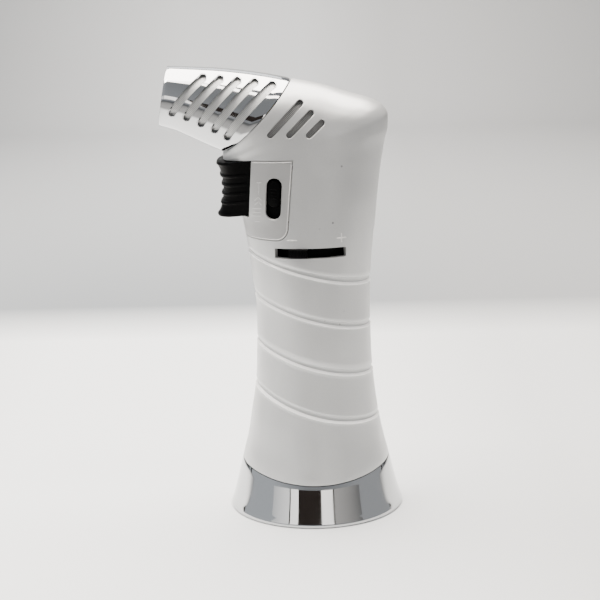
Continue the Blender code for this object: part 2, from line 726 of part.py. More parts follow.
def make_flame_adjuster():
    collar = sleeve("flame_adjuster", 7.0, 4.3, (VALVE_X, 0, 100.0), (VALVE_X, 0, 103.2), 28)
    arm = sector("adjuster_arm", 6.0, 18.5, math.radians(9), 100.4, 102.8, 2)
    shield = sector("adjuster_band", 17.8, 18.6, math.radians(44), 99.2, 104.0, 20)
    knob = sector("adjuster_knob", 18.2, 22.4, math.radians(9.6), 100.1, 103.1, 6)
    join(collar, arm, shield, knob)
    finish(collar, "flame_adjuster", BLACK)
    return collar


# ---------------------------------------------------------------- gas system

def make_tank():
    profile = [(18.4, 82.0), (18.4, 56.0), (21.6, 30.0), (21.6, 9.0), (20.6, 8.0), (1.0, 8.0), (1.0, 9.8),
               (19.8, 9.8), (19.8, 30.0), (16.6, 56.0), (16.6, 82.0)]
    tank = turned("fuel_tank", profile, 24, CLEAR_PLASTIC)
    cut(tank, rod("tank_fill_hole", 3.3, (FILL_X, 0, 6), (FILL_X, 0, 12), 18))
    plug = rod("tank_plug", 2.0, (0, 0, 8.3), (0, 0, 9.5), 12)
    join(tank, plug)
    lid = turned("tank_lid", [(18.4, 86.0), (18.4, 82.3), (16.2, 82.3), (16.2, 79.0), (14.4, 79.0),
                              (14.4, 83.4), (4.3, 83.4), (4.3, 86.0)], 24, CLEAR_PLASTIC)
    seal = turned("tank_seal", [(16.25, 78.7), (16.25, 77.7), (15.2, 77.7), (15.2, 78.7)], 28, BLACK)
    return tank, lid, seal


def make_outlet_valve():
    centre = (VALVE_X, 0, 0)
    body = turned("outlet_valve_body", [(4.0, 104.0), (4.0, 87.8), (6.0, 87.8), (6.0, 86.3), (3.6, 86.3),
                                        (3.6, 74.0), (1.0, 73.0), (1.0, 76.0), (2.6, 77.0), (2.6, 102.4),
                                        (1.5, 102.4), (1.5, 104.0)], 16, BRASS, centre)
    stem = turned("valve_stem", [(0, 114.1), (0.95, 113.7), (0.95, 111.3), (3.4, 111.3), (3.4, 110.1),
                                 (1.15, 110.1), (1.15, 100.6), (2.2, 100.6), (2.2, 99.4), (1.0, 99.4),
                                 (1.0, 92.0), (0, 92.0)], 18, BRASS, centre)
    coil = helix((VALVE_X, 0, 91.0), (VALVE_X, 0, 98.9), 1.85, 5)
    wire("valve_spring", coil, 0.3, STEEL, 0, 1)
    return body, stem


def make_rocker():
    outline = [(-9.7, 108.2), (-9.0, 107.3), (-7.0, 107.3), (-6.1, 107.9), (8.0, 107.8), (9.2, 106.7),
               (11.8, 106.7), (12.8, 107.8), (12.8, 109.8), (11.8, 110.9), (9.2, 110.9), (8.0, 109.8),
               (-9.7, 109.8)]
    lever = side_prism("rocker_lever", outline, -5.5, 5.5)
    fork = block("rocker_fork", (-12, -2.0, 104), (3.0, 2.0, 114))
    cut(lever, fork, rod("rocker_bore", 1.15, (ROCKER_X, -8, ROCKER_Z), (ROCKER_X, 8, ROCKER_Z), 16))
    finish(lever, "rocker_lever", STEEL)
    lever.data.transform(lever.matrix_world)
    lever.matrix_world = Matrix.Identity(4)
    set_origin(lever, ROCKER_X, 0, ROCKER_Z)
    rod("rocker_pin", 1.0, (ROCKER_X, -9.0, ROCKER_Z), (ROCKER_X, 9.0, ROCKER_Z), 16, STEEL)
    return lever


def make_inner_frame():
    """Bracket on the tank's lid that holds the rocker pin and the piezo."""
    frame = block("inner_frame", (14.0, -6.0, 86.4), (15.8, 6.0, 121.4))
    foot = block("frame_foot", (7.5, -6.0, 86.35), (15.0, 6.0, 88.0))
    cheeks = block("frame_cheeks", (7.6, -8.2, 104.6), (14.6, 8.2, 113.2))
    gap = block("cheek_gap", (6.0, -5.9, 104.0), (13.2, 5.9, 114.0))
    cut(cheeks, gap)
    deck = block("frame_deck", (5.0, -6.4, 119.6), (15.0, 6.4, 123.5))
    cradle = block("frame_cradle", (5.0, -6.4, 121.6), (11.5, 6.4, 129.0))
    push = Vector((math.cos(PRESS_TILT), 0, math.sin(PRESS_TILT)))
    middle = Vector((0, 0, PIEZO_Z))
    join(frame, foot, cheeks, deck, cradle)
    cut(frame, rod("cradle_bore", 5.1, middle - push * 10, middle + push * 22, 24),
        rod("pin_bore", 1.3, (ROCKER_X, -10, ROCKER_Z), (ROCKER_X, 10, ROCKER_Z), 16))
    return finish(frame, "inner_frame", NATURAL_PLASTIC)


def make_fill_valve():
    centre = (FILL_X, 0, 0)
    turned("fill_valve_body", [(3.0, 16.0), (3.0, 7.7), (4.4, 7.7), (4.4, 4.9), (1.4, 4.9), (1.4, 6.4),
                               (2.3, 6.4), (2.3, 14.6), (1.4, 14.6), (1.4, 16.0)], 20, BRASS, centre)
    turned("fill_valve_stem", [(0, 15.4), (1.0, 15.0), (1.0, 9.2), (1.9, 9.2), (1.9, 8.2), (1.1, 8.2),
                               (1.1, 3.4), (0.8, 3.0), (0, 3.0)], 16, BRASS, centre)
    coil = helix((FILL_X, 0, 9.9), (FILL_X, 0, 14.0), 1.6, 4)
    wire("fill_valve_spring", coil, 0.25, STEEL, 0, 1)


def on_burner(inward, side=0.0):
    """Point on the burner's axis, a distance inwards from the mouth, moved sideways along Y."""
    return Vector((MOUTH_X + inward * math.cos(BURNER_TILT), side,
                   MOUTH_Z - inward * math.sin(BURNER_TILT)))


def turned_on_burner(name, profile, steps, look=None):
    """Turn a profile whose heights are distances inwards from the mouth, deepest first."""
    piece = turned(name, profile, steps, look, on_burner(0))
    piece.rotation_euler = (on_burner(10) - on_burner(0)).to_track_quat("Z", "Y").to_euler()
    return piece


def make_burner():
    turned_on_burner("burner_tube", [(4.1, 34.0), (4.1, 30.0), (7.2, 24.0), (7.2, 6.0), (6.4, 6.0),
                                     (6.4, 24.2), (3.3, 30.4), (3.3, 34.0)], 28, STEEL)
    disc = turned_on_burner("flame_holder", [(0, 10.0), (6.1, 10.0), (6.1, 8.0), (0, 8.0)], 28, STEEL)
    for number in range(7):
        angle = 2 * math.pi * number / 6
        offset = 0.0 if number == 6 else 3.9
        shift = Vector((math.sin(BURNER_TILT) * math.cos(angle), math.sin(angle),
                        math.cos(BURNER_TILT) * math.cos(angle))) * offset
        cut(disc, rod(f"flame_hole_{number}", 1.1, on_burner(6) + shift, on_burner(12) + shift, 8))
    jet = turned_on_burner("gas_jet", [(0.5, 46.0), (1.15, 46.0), (1.15, 41.0), (4.4, 41.0), (4.4, 34.4),
                                       (3.0, 34.4), (3.0, 31.0), (0.5, 31.0)], 18, BRASS)
    return jet


def make_ignition():
    side = 8.6
    tip = on_burner(3.4, 4.2)
    wire("electrode", [on_burner(41, side), on_burner(20, side), on_burner(6.5, side),
                       on_burner(4.2, side - 0.8), tip], 0.45, STEEL, 1, 2)
    sleeve("electrode_insulator", 1.15, 0.75, on_burner(9, side), on_burner(38, side), 12, CERAMIC)
    lead_end = on_burner(41.6, side)
    wire("ignition_wire", [(10.5, 0, 133.4), (10.4, 0.8, 137.0), (7.6, 4.0, 142.6), (2.0, 7.6, 147.2),
                           (-5.0, side, 149.4), lead_end], 0.7, RED_WIRE, 1, 4)


def make_hose():
    """Hose from the valve's stem to the jet, hollow so that the stem slides in its end."""
    end = on_burner(42.0)
    start = Vector((VALVE_X, 0, 112.7))
    route = [start, (VALVE_X, 0, 115.9), (-0.5, -1.4, 118.1), (0.3, -5.0, 119.8), (3.2, -8.8, 122.6),
             (6.0, -10.2, 130.0), (6.6, -8.4, 138.5), (3.4, -4.2, 145.4), (-3.0, -0.6, 149.2), end]
    points = smooth_route(route, 2)
    count = 8
    outer, inner = [], []
    for i, point in enumerate(points):
        ahead = points[min(i + 1, len(points) - 1)] - points[max(i - 1, 0)]
        if i < 2:
            ahead = Vector((0, 0, 1))
        across = ahead.cross(Vector((1, 0, 0))).normalized()
        other = ahead.normalized().cross(across)
        for rows, radius in ((outer, 2.0), (inner, 1.45)):
            rows.append([point + (across * math.cos(a) + other * math.sin(a)) * radius
                         for a in full_turn(count)])
    hose = smooth(loft("gas_hose", outer + list(reversed(inner)), wrap=True))
    return finish(hose, "gas_hose", BLACK)


# ---------------------------------------------------------------- build

make_shells()
make_shell_screws()
make_housing()
make_screens()
make_shroud()
make_base()
make_trigger()
make_piezo()
make_lock_slider()
make_flame_adjuster()
make_tank()
make_outlet_valve()
make_rocker()
make_inner_frame()
make_fill_valve()
make_burner()
make_ignition()
make_hose()
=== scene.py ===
"""Looks of the hand torch: detailed surfaces, procedural materials, studio and camera.

Lengths are in millimetres and become metres where a mesh is made. -Y is the side with
the lock slider and the flame lever, and the nozzle points to -X.
"""

import math

import bmesh
import bpy
from mathutils import Matrix, Vector
from mathutils.bvhtree import BVHTree


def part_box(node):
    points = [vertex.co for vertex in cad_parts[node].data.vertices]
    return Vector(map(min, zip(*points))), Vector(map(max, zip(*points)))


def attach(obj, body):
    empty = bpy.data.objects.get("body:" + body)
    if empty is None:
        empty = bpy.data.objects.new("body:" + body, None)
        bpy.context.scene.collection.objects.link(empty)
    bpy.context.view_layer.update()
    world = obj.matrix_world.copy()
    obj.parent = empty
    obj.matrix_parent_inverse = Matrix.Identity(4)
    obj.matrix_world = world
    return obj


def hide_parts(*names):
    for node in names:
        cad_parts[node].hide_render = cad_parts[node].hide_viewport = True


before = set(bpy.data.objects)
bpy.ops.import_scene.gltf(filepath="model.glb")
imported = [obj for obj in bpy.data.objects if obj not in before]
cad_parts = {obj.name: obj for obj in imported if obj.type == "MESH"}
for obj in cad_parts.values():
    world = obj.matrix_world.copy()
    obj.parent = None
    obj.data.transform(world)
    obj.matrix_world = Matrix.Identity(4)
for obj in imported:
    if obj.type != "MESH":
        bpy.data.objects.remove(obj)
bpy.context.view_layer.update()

MM = 0.001
SHELL_WALL, HOUSING_WALL, SHROUD_WALL = 1.8, 1.2, 1.0

# ------------------------------------ body surface
# Outlines close to those of the CAD shells: height, then distance from the axis.

FRONT_OUTLINE = [(0, 33.0), (19.1, 28.1), (28, 25.8), (38, 24.1), (48, 22.4), (59, 21.7), (70, 21.3),
                 (80, 21.4), (90, 22.5), (101, 23.8), (112, 25.5)]
REAR_OUTLINE = [(0, 33.0), (19.1, 28.1), (28, 25.9), (39, 23.9), (55, 22.2), (72, 21.7), (89, 21.9),
                (100, 22.7), (112, 24.1)]
HALF_WIDTH = [(0, 33.0), (19.1, 28.1), (28, 26.0), (38, 24.2), (56, 22.1), (72, 21.6), (90, 21.5),
              (101, 21.2), (112, 20.6)]
GRIP_SQUARENESS = [(19.1, 2.0), (90, 2.0), (112, 2.35)]
RING_TILT = [(19.1, 0.0), (43, -0.284), (60, -0.28), (78, -0.282), (94.6, -0.257), (112, 0.0)]
RING_SAG = [(19.1, 4.1), (43, 2.3), (60, 1.4), (78, 1.1), (94.6, 1.3), (112, 0.0)]
GROOVE_HEIGHTS = (43.1, 60.2, 77.9, 94.6)

# Sections round the corner under the nozzle and out to its mouth:
# front x, z, rear x, z, half width, squareness, sag
HEAD = [
    (-25.5, 112.1, 24.1, 112.0, 20.6, 2.35, 0.0),
    (-28.0, 121.0, 25.1, 122.0, 20.1, 2.60, 0.0),
    (-30.4, 129.0, 26.3, 131.5, 19.8, 2.60, 0.0),
    (-31.4, 131.6, 27.9, 140.3, 19.6, 2.50, 0.1),
    (-31.7, 132.5, 29.1, 145.6, 19.4, 2.50, 0.2),
    (-31.9, 133.1, 29.2, 149.4, 19.3, 2.50, 0.4),
    (-32.0, 133.5, 27.4, 152.8, 19.2, 2.45, 0.6),
    (-32.1, 133.9, 23.5, 155.2, 19.1, 2.40, 0.8),
    (-32.2, 134.5, 14.4, 158.1, 18.9, 2.30, 1.0),
    (-32.2, 135.4, 5.2, 161.1, 18.7, 2.15, 1.2),
    (-32.2, 136.8, -6.0, 163.6, 18.4, 2.05, 1.4),
]
SHROUD = [
    (-32.0, 137.2, -6.6, 163.7, 18.3, 2.05, 1.4),
    (-35.2, 138.6, -16.0, 165.6, 17.3, 2.0, 1.3),
    (-38.3, 140.0, -25.1, 167.0, 16.0, 2.0, 1.1),
    (-44.3, 142.9, -34.3, 168.0, 14.4, 2.0, 0.8),
    (-50.4, 145.7, -43.4, 168.6, 12.7, 2.0, 0.4),
    (-55.5, 147.2, -51.7, 169.0, 11.1, 2.0, 0.0),
]
SHROUD_SLOTS = [((-38.3, 165.2), (-49.8, 153.0)), ((-32.1, 164.6), (-44.5, 151.4)),
                ((-25.7, 164.0), (-39.3, 149.2)), ((-19.4, 163.3), (-34.4, 146.9)),
                ((-13.0, 162.2), (-29.9, 144.2))]
VENTS = [((-3.2, 155.9), (-14.2, 145.0)), ((0.6, 152.4), (-7.3, 144.9)), ((4.4, 149.0), (-0.2, 144.7))]

VALVE_X, LEVER_Z = -0.5, 101.6
SLOT_FROM, SLOT_TO, SLOT_BOW = -13.7, 12.7, 0.0165
LEVER_REST = math.radians(-12.5)
LOCK_X, LOCK_Z, LOCK_TILT = -13.6, 121.7, math.radians(3.4)
PRESS_TILT = math.radians(5.0)
TRIGGER_HALF_WIDTHS = (9.7, 14.8)
MOUTH_X, MOUTH_Z, BURNER_TILT = -53.6, 158.1, math.radians(9.9)
SCREWS = [(19.5, 126.0), (-14.0, 93.0), (14.0, 150.5)]


def along_table(table, at):
    """Smooth value through a table of place and value."""
    last = len(table) - 1
    i = 0
    while i < last - 1 and at > table[i + 1][0]:
        i += 1
    (x0, y0), (x1, y1) = table[i], table[i + 1]
    span = x1 - x0
    slope = (y1 - y0) / span
    before = slope if i == 0 else (y1 - table[i - 1][1]) / (x1 - table[i - 1][0])
    after = slope if i + 1 == last else (table[i + 2][1] - y0) / (table[i + 2][0] - x0)
    t = min(max((at - x0) / span, 0.0), 1.0)
    return ((1 + 2 * t) * (1 - t) ** 2 * y0 + t * (1 - t) ** 2 * span * before
            + t * t * (3 - 2 * t) * y1 + t * t * (t - 1) * span * after)


def grip_section(height, inset=0.0):
    tilt = along_table(RING_TILT, height)
    front_z = height - tilt * along_table(FRONT_OUTLINE, height)
    front_z = height - tilt * along_table(FRONT_OUTLINE, front_z)
    rear_z = height + tilt * along_table(REAR_OUTLINE, height)
    rear_z = height + tilt * along_table(REAR_OUTLINE, rear_z)
    return (-along_table(FRONT_OUTLINE, front_z) + inset, front_z,
            along_table(REAR_OUTLINE, rear_z) - inset, rear_z,
            along_table(HALF_WIDTH, height) - inset, along_table(GRIP_SQUARENESS, height),
            along_table(RING_SAG, height))


def inset_section(section, inset):
    front_x, front_z, rear_x, rear_z, width, squareness, sag = section
    across = Vector((rear_x - front_x, rear_z - front_z)).normalized() * inset
    return (front_x + across.x, front_z + across.y, rear_x - across.x, rear_z - across.y,
            width - inset, squareness, sag)


def section_points(section, angles):
    front_x, front_z, rear_x, rear_z, width, squareness, sag = section
    half = Vector((rear_x - front_x, rear_z - front_z)) * 0.5
    middle = Vector((front_x, front_z)) + half
    unit = half.normalized()
    power = 2.0 / squareness
    points = []
    for angle in angles:
        c, s = math.cos(angle), math.sin(angle)
        reach = math.copysign(abs(c) ** power, c)
        side = math.copysign(abs(s) ** power, s)
        drop = sag * side * side
        points.append(Vector((middle.x + half.x * reach + unit.y * drop, width * side,
                              middle.y + half.y * reach - unit.x * drop)))
    return points


def between(sections, steps):
    """Sections filled in between key ones, with no overshoot past a key value."""
    def tangent(before, here, after):
        low, high = here - before, after - here
        return 0.0 if low * high <= 0 else 2 * low * high / (low + high)

    filled = []
    last = len(sections) - 1
    for i in range(last):
        for k in range(steps):
            t = k / steps
            values = []
            for a, b, c, d in zip(sections[max(i - 1, 0)], sections[i], sections[i + 1],
                                  sections[min(i + 2, last)]):
                slope_b = c - b if i == 0 else tangent(a, b, c)
                slope_c = c - b if i + 1 == last else tangent(b, c, d)
                values.append((1 + 2 * t) * (1 - t) ** 2 * b + t * (1 - t) ** 2 * slope_b
                              + t * t * (3 - 2 * t) * c + t * t * (t - 1) * slope_c)
            filled.append(tuple(values))
    filled.append(tuple(sections[-1]))
    return filled


def full_turn(count):
    return [2 * math.pi * i / count for i in range(count)]


# Across a ring groove: height from its middle, then depth (the lower lip stands proud)
GROOVE_PROFILE = [(-1.75, 0.0), (-1.45, -0.08), (-1.2, -0.05), (-0.95, 0.15), (-0.7, 0.38), (-0.5, 0.5),
                  (-0.2, 0.55), (0.6, 0.54), (0.84, 0.49), (0.94, 0.3), (1.0, 0.08), (1.15, 0.0)]
# Spans across a groove, from its middle: faces on the lower lip are painted near white as a highlight,
# faces in the upper corner dark grey as shade
LIP_HIGHLIGHT_SPAN, CORNER_SHADE_SPAN = (-1.4, -0.55), (0.8, 1.02)
FOOT_SEAM, GRIP_TOP, ROW_STEP, GROOVE_REACH = 19.1, 111.0, 1.53, 2.0
# Places in the body's list of materials: paint, the painted highlight on the grooves' lower lips, the
# painted shade in their upper corners, and the slot's bare wall
PAINTED, LIP_HIGHLIGHT, CORNER_SHADE, BARE = range(4)


def body_sections():
    """Outer and inner sections from the foot's seam to the nozzle's, and each row's material."""
    entries = []
    height = FOOT_SEAM
    while height < GRIP_TOP:
        if all(abs(height - groove) > GROOVE_REACH for groove in GROOVE_HEIGHTS):
            entries.append((height, 0.0))
        height += ROW_STEP
    for groove in GROOVE_HEIGHTS:
        entries += [(groove + offset, depth) for offset, depth in GROOVE_PROFILE]
    entries.sort()
    marks = []
    for (low, _), (high, _) in zip(entries, entries[1:]):
        offset = min(((low + high) / 2 - groove for groove in GROOVE_HEIGHTS), key=abs)
        # Rows on a groove's lower lip take the painted highlight, rows in its upper corner the painted
        # shade
        if LIP_HIGHLIGHT_SPAN[0] < offset < LIP_HIGHLIGHT_SPAN[1]:
            marks.append(LIP_HIGHLIGHT)
        elif CORNER_SHADE_SPAN[0] < offset < CORNER_SHADE_SPAN[1]:
            marks.append(CORNER_SHADE)
        else:
            marks.append(PAINTED)
    outer = [grip_section(h, depth) for h, depth in entries] + between(HEAD, 5)
    inner = [inset_section(grip_section(h), SHELL_WALL) for h, _ in entries]
    inner += [inset_section(s, SHELL_WALL) for s in between(HEAD, 5)]
    outer[0] = inset_section(outer[0], 0.12)
    outer[-1] = inset_section(outer[-1], 0.2)
    return outer, inner, marks + [PAINTED] * len(outer)


# ------------------------------------ mesh helpers

def reshade(piece, smooth_angle=35):
    """Smooth shading with sharp edges where faces meet at more than an angle."""
    piece.data.shade_smooth()
    piece.data.set_sharp_from_angle(angle=math.radians(smooth_angle))


def new_object(name, bm, smooth_angle=35):
    """A mesh object from a bmesh in millimetres."""
    bmesh.ops.transform(bm, matrix=Matrix.Scale(MM, 4), verts=bm.verts)
    bmesh.ops.recalc_face_normals(bm, faces=bm.faces)
    mesh = bpy.data.meshes.new(name)
    bm.to_mesh(mesh)
    bm.free()
    piece = bpy.data.objects.new(name, mesh)
    bpy.context.scene.collection.objects.link(piece)
    if smooth_angle:
        reshade(piece, smooth_angle)
    return piece


def loft(name, rows, wrap=False, smooth_angle=35):
    """Bridge closed loops of equal length; wrap joins the last loop to the first."""
    bm = bmesh.new()
    loops = [[bm.verts.new(point) for point in row] for row in rows]
    pairs = list(zip(loops, loops[1:]))
    if wrap:
        pairs.append((loops[-1], loops[0]))
    for low, high in pairs:
        count = len(low)
        for i in range(count):
            bm.faces.new((low[i], low[(i + 1) % count], high[(i + 1) % count], high[i]))
    if not wrap:
        bm.faces.new(loops[0])
        bm.faces.new(loops[-1])
    return new_object(name, bm, smooth_angle)


def turned(name, profile, count, origin=(0, 0, 0), heading=(0, 0, 1)):
    """Turn a profile of radius and distance about an axis; radius 0 makes a pole."""
    bm = bmesh.new()
    origin, heading = Vector(origin), Vector(heading)
    turn = heading.to_track_quat("Z", "Y")
    loops = []
    for radius, height in profile:
        ring = [Vector((radius * math.cos(a), radius * math.sin(a), height))
                for a in (full_turn(count) if radius else [0.0])]
        loops.append([bm.verts.new(origin + turn @ place) for place in ring])
    pairs = list(zip(loops, loops[1:]))
    if len(loops[0]) > 1:
        pairs.append((loops[-1], loops[0]))
    for low, high in pairs:
        for i in range(count):
            j = (i + 1) % count
            if len(low) == 1:
                bm.faces.new((low[0], high[j], high[i]))
            elif len(high) == 1:
                bm.faces.new((low[i], low[j], high[0]))
            else:
                bm.faces.new((low[i], low[j], high[j], high[i]))
    return new_object(name, bm)


def rounded(profile, radius, steps=3):
    """A closed profile with its corners rounded."""
    result = []
    count = len(profile)
    for i, corner in enumerate(profile):
        corner = Vector(corner)
        before, after = Vector(profile[i - 1]), Vector(profile[(i + 1) % count])
        reach = min(radius, (before - corner).length * 0.45, (after - corner).length * 0.45)
        start = corner + (before - corner).normalized() * reach
        end = corner + (after - corner).normalized() * reach
        for k in range(steps + 1):
            t = k / steps
            result.append(tuple((1 - t) ** 2 * start + 2 * t * (1 - t) * corner + t * t * end))
    return result


def prism(name, outline, y_from, y_to):
    """A flat outline of x, z points, carried from one y to another."""
    rows = [[(x, y, z) for x, z in outline] for y in (y_from, y_to)]
    return loft(name, rows)


def capsule(start, end, width, steps=10):
    (x0, z0), (x1, z1) = start, end
    heading = math.atan2(z1 - z0, x1 - x0)
    radius = width * 0.5
    points = []
    for (x, z), first in (((x1, z1), heading - math.pi / 2), ((x0, z0), heading + math.pi / 2)):
        for i in range(steps + 1):
            angle = first + math.pi * i / steps
            points.append((x + radius * math.cos(angle), z + radius * math.sin(angle)))
    return points


def apply_boolean(piece, other, operation):
    boolean = piece.modifiers.new("boolean", "BOOLEAN")
    boolean.object = other
    boolean.operation = operation
    boolean.solver = "EXACT"
    evaluated = piece.evaluated_get(bpy.context.evaluated_depsgraph_get())
    mesh = bpy.data.meshes.new_from_object(evaluated)
    piece.modifiers.clear()
    old = piece.data
    piece.data = mesh
    mesh.name = old.name
    bpy.data.meshes.remove(old)
    bpy.data.objects.remove(other, do_unlink=True)


def cut(piece, *others, smooth_angle=35):
    for other in others:
        apply_boolean(piece, other, "DIFFERENCE")
    reshade(piece, smooth_angle)


def keep_inside(piece, other):
    apply_boolean(piece, other, "INTERSECT")
    reshade(piece)


def gather(name, pieces):
    """Several objects in one mesh."""
    bm = bmesh.new()
    for piece in pieces:
        bm.from_mesh(piece.data)
        bpy.data.objects.remove(piece, do_unlink=True)
    mesh = bpy.data.meshes.new(name)
    bm.to_mesh(mesh)
    bm.free()
    piece = bpy.data.objects.new(name, mesh)
    bpy.context.scene.collection.objects.link(piece)
    reshade(piece)
    return piece


def sweep(name, points, radius, count=8, closed=False):
    """A round bead along a path, thinner at its two ends when it is open."""
    rows = []
    total = len(points)
    for i, point in enumerate(points):
        if closed:
            ahead = points[(i + 1) % total] - points[i - 1]
        else:
            ahead = points[min(i + 1, total - 1)] - points[max(i - 1, 0)]
        turn = ahead.to_track_quat("Z", "Y")
        size = radius
        if not closed and i in (0, total - 1):
            size = radius * 0.55
        rows.append([point + turn @ Vector((size * math.cos(a), size * math.sin(a), 0))
                     for a in full_turn(count)])
    return loft(name, rows, wrap=closed)


# ------------------------------------ surface lookup

def hull_tree(sections):
    """Lookup tree of a closed surface through sections."""
    count = 72
    points = [p for s in sections for p in section_points(s, full_turn(count))]
    faces = []
    for start in range(0, len(points) - count, count):
        for i in range(count):
            j = (i + 1) % count
            faces.append((start + i, start + j, start + count + j, start + count + i))
    return BVHTree.FromPolygons(points, faces)


UPPER_BODY = [grip_section(h) for h in range(84, 112, 2)] + between(HEAD, 4)
BODY_TREE = hull_tree(UPPER_BODY)
SHROUD_TREE = hull_tree(between(SHROUD, 4))


# Distances from the middle plane: well outside the body, and close to its flank
OUTSIDE, FLANK = 60.0, 19.0


def on_surface(tree, x, z, side):
    """Point and outward normal where a line along Y meets the surface."""
    point, normal, _, _ = tree.ray_cast(Vector((x, side * OUTSIDE, z)), Vector((0, -side, 0)))
    if point is None:
        point, normal, _, _ = tree.find_nearest(Vector((x, side * FLANK, z)))
    if normal.y * side < 0:
        normal = -normal
    return point, normal


def slot_cutter(name, tree, start, end, width, side, chamfer=0.3, depth=3.4, steps=10):
    """A capsule-shaped cutter, square to the surface at its middle, with a small chamfer."""
    (x0, z0), (x1, z1) = start, end
    outward = Vector((0, side * 0.6, 0))
    for share in (0.2, 0.4, 0.6, 0.8):
        outward += on_surface(tree, x0 + (x1 - x0) * share, z0 + (z1 - z0) * share, side)[1]
    outward.normalize()
    rows = []
    for grow, above in ((chamfer, 8.0), (chamfer, 0.02), (0.0, -chamfer), (0.0, -depth)):
        rows.append([on_surface(tree, x, z, side)[0] + outward * above
                     for x, z in capsule(start, end, width + 2 * grow, steps)])
    return loft(name, rows)


def laid(tree, outline, side, sink):
    """Points of x, z brought to a surface and sunk into it a little."""
    path = []
    for x, z in outline:
        point, normal = on_surface(tree, x, z, side)
        path.append(point - normal * sink)
    return path


def straight(start, end, steps):
    """Evenly spaced points from a start to an end."""
    (x0, z0), (x1, z1) = start, end
    shares = [i / steps for i in range(steps + 1)]
    return [(x0 + (x1 - x0) * t, z0 + (z1 - z0) * t) for t in shares]


def raised(strokes, steps, sink, radius, count=8):
    """Fine beads along straight strokes on the body's left side."""
    return [sweep("stroke", laid(BODY_TREE, straight(*ends, steps), -1, sink), radius, count)
            for ends in strokes]


# ------------------------------------ body pieces

def panel_outline(grow):
    """Side view of the panel, which starts in front of the body."""
    corner_x, corner_z, radius = -13.3, 111.0, 4.7 + grow
    arc = []
    for i in range(13):
        angle = math.radians(-90 + 87 * i / 12)
        arc.append((corner_x + radius * math.cos(angle), corner_z + radius * math.sin(angle)))
    top = [(x, trigger_edge_z(x, "high") + 0.1 + grow) for x in (-21.2, -45.0)]
    return [(-45.0, 106.3 - grow), *arc, (-6.4 + grow, 135.5 + grow), *top]


def half_shell(name, side):
    """One half of the body: side is -1 for the left half, 1 for the right half."""
    count = 44
    angles = [math.pi * (1 + i / count) for i in range(count + 1)]
    outer, inner, marks = body_sections()
    bm = bmesh.new()
    loops = []
    for outside, inside in zip(outer, inner):
        arc = section_points(outside, angles)
        back = section_points(inside, list(reversed(angles)))
        for point in (arc[0], arc[-1], back[0], back[-1]):
            point.y = -0.15
        loops.append([bm.verts.new((p.x, -side * p.y, p.z)) for p in arc + back])
    length = len(loops[0])
    for low, high, mark in zip(loops, loops[1:], marks):
        for i in range(length):
            face = bm.faces.new((low[i], low[(i + 1) % length], high[(i + 1) % length], high[i]))
            face.material_index = mark if i < count else PAINTED
    for loop in (loops[0], loops[-1]):
        for i in range(count):
            bm.faces.new((loop[i], loop[i + 1], loop[length - 2 - i], loop[length - 1 - i]))
    return new_object(name, bm)


def lever_slot_cutter():
    """Slot whose ends lean inwards, with a small chamfer above and below."""
    rows = []
    for lean, half, y in ((0.0, 1.85, -30.0), (0.0, 1.85, -21.2), (0.2, 1.7, -20.9), (1.1, 1.68, -19.2),
                          (1.1, 1.68, -9.0)):
        left, right = SLOT_FROM + lean, SLOT_TO - lean
        low, high = LEVER_Z - half, LEVER_Z + half
        corners = rounded([(left, low), (right, low), (right, high), (left, high)], 0.35)
        rows.append([(x, y + SLOT_BOW * (x - VALVE_X) ** 2, z) for x, z in corners])
    cutter = loft("lever_slot", rows)
    for face in cutter.data.polygons:
        face.material_index = BARE
    return cutter


def make_body(materials):
    """Both halves; the materials are paint, a near-white painted highlight on the grooves' lower lips,
    dark painted shade in their upper corners and the slot's bare wall.
    """
    pieces = []
    for name, side in (("left", -1), ("right", 1)):
        shell = half_shell(f"{name}_body", side)
        for material in materials:
            shell.data.materials.append(material)
        cutters = [slot_cutter("vent", BODY_TREE, a, b, 2.3, side, 0.25) for a, b in VENTS]
        cutters.append(prism("panel", panel_outline(0.22), *sorted((side * 0.05 - side, side * 27.0))))
        if side < 0:
            cutters.append(lever_slot_cutter())
        else:
            for x, z in SCREWS:
                well = [(3.4, 30.0), (3.4, -0.4), (3.05, -0.8), (3.05, -4.0), (0, -4.0)]
                point, _ = on_surface(BODY_TREE, x, z, side)
                cutters.append(turned("well", [(0, 30.0), *well], 32, point, (0, 1, 0)))
        cut(shell, *cutters)
        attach(shell, "body")
        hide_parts(f"{name}_shell")
        pieces.append(shell)
    wells = []
    for x, z in SCREWS:
        point, _ = on_surface(BODY_TREE, x, z, 1)
        top = point.y + 4.0
        sleeve = [(3.9, top), (3.9, 4.4), (1.4, 4.4), (1.4, 5.0), (3.04, 5.0), (3.04, top)]
        wells.append(turned("well", sleeve, 32, (x, 0, z), (0, 1, 0)))
    lining = gather("screw_wells", wells)
    within = [section_points(inset_section(s, 0.5), full_turn(72)) for s in UPPER_BODY]
    keep_inside(lining, loft("limit", within))
    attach(lining, "body")
    return pieces + [lining]


def make_signs():
    """Raised minus and plus beside the flame lever's slot."""
    strokes = [((-9.1, 106.6), (-5.4, 106.6)), ((9.0, 106.9), (12.6, 106.9)),
               ((10.8, 105.1), (10.8, 108.7))]
    signs = gather("flame_signs", raised(strokes, 8, 0.03, 0.26, 10))
    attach(signs, "body")
    return signs


def band(name, sections, outer_inset, inner_inset, count):
    """A closed sheet between two insets of the same sections."""
    angles = full_turn(count)
    rows = [section_points(inset_section(s, outer_inset), angles) for s in sections]
    rows += [section_points(inset_section(s, inner_inset), angles) for s in reversed(sections)]
    return loft(name, rows, wrap=True)


def trigger_edge_z(x, edge):
    slope = math.tan(PRESS_TILT)
    if edge == "high":
        return 134.1 + slope * (x + 34.4)
    return 113.3 + slope * (x + 34.8)


def lock_point(along):
    return (LOCK_X + along * math.sin(LOCK_TILT), LOCK_Z + along * math.cos(LOCK_TILT))


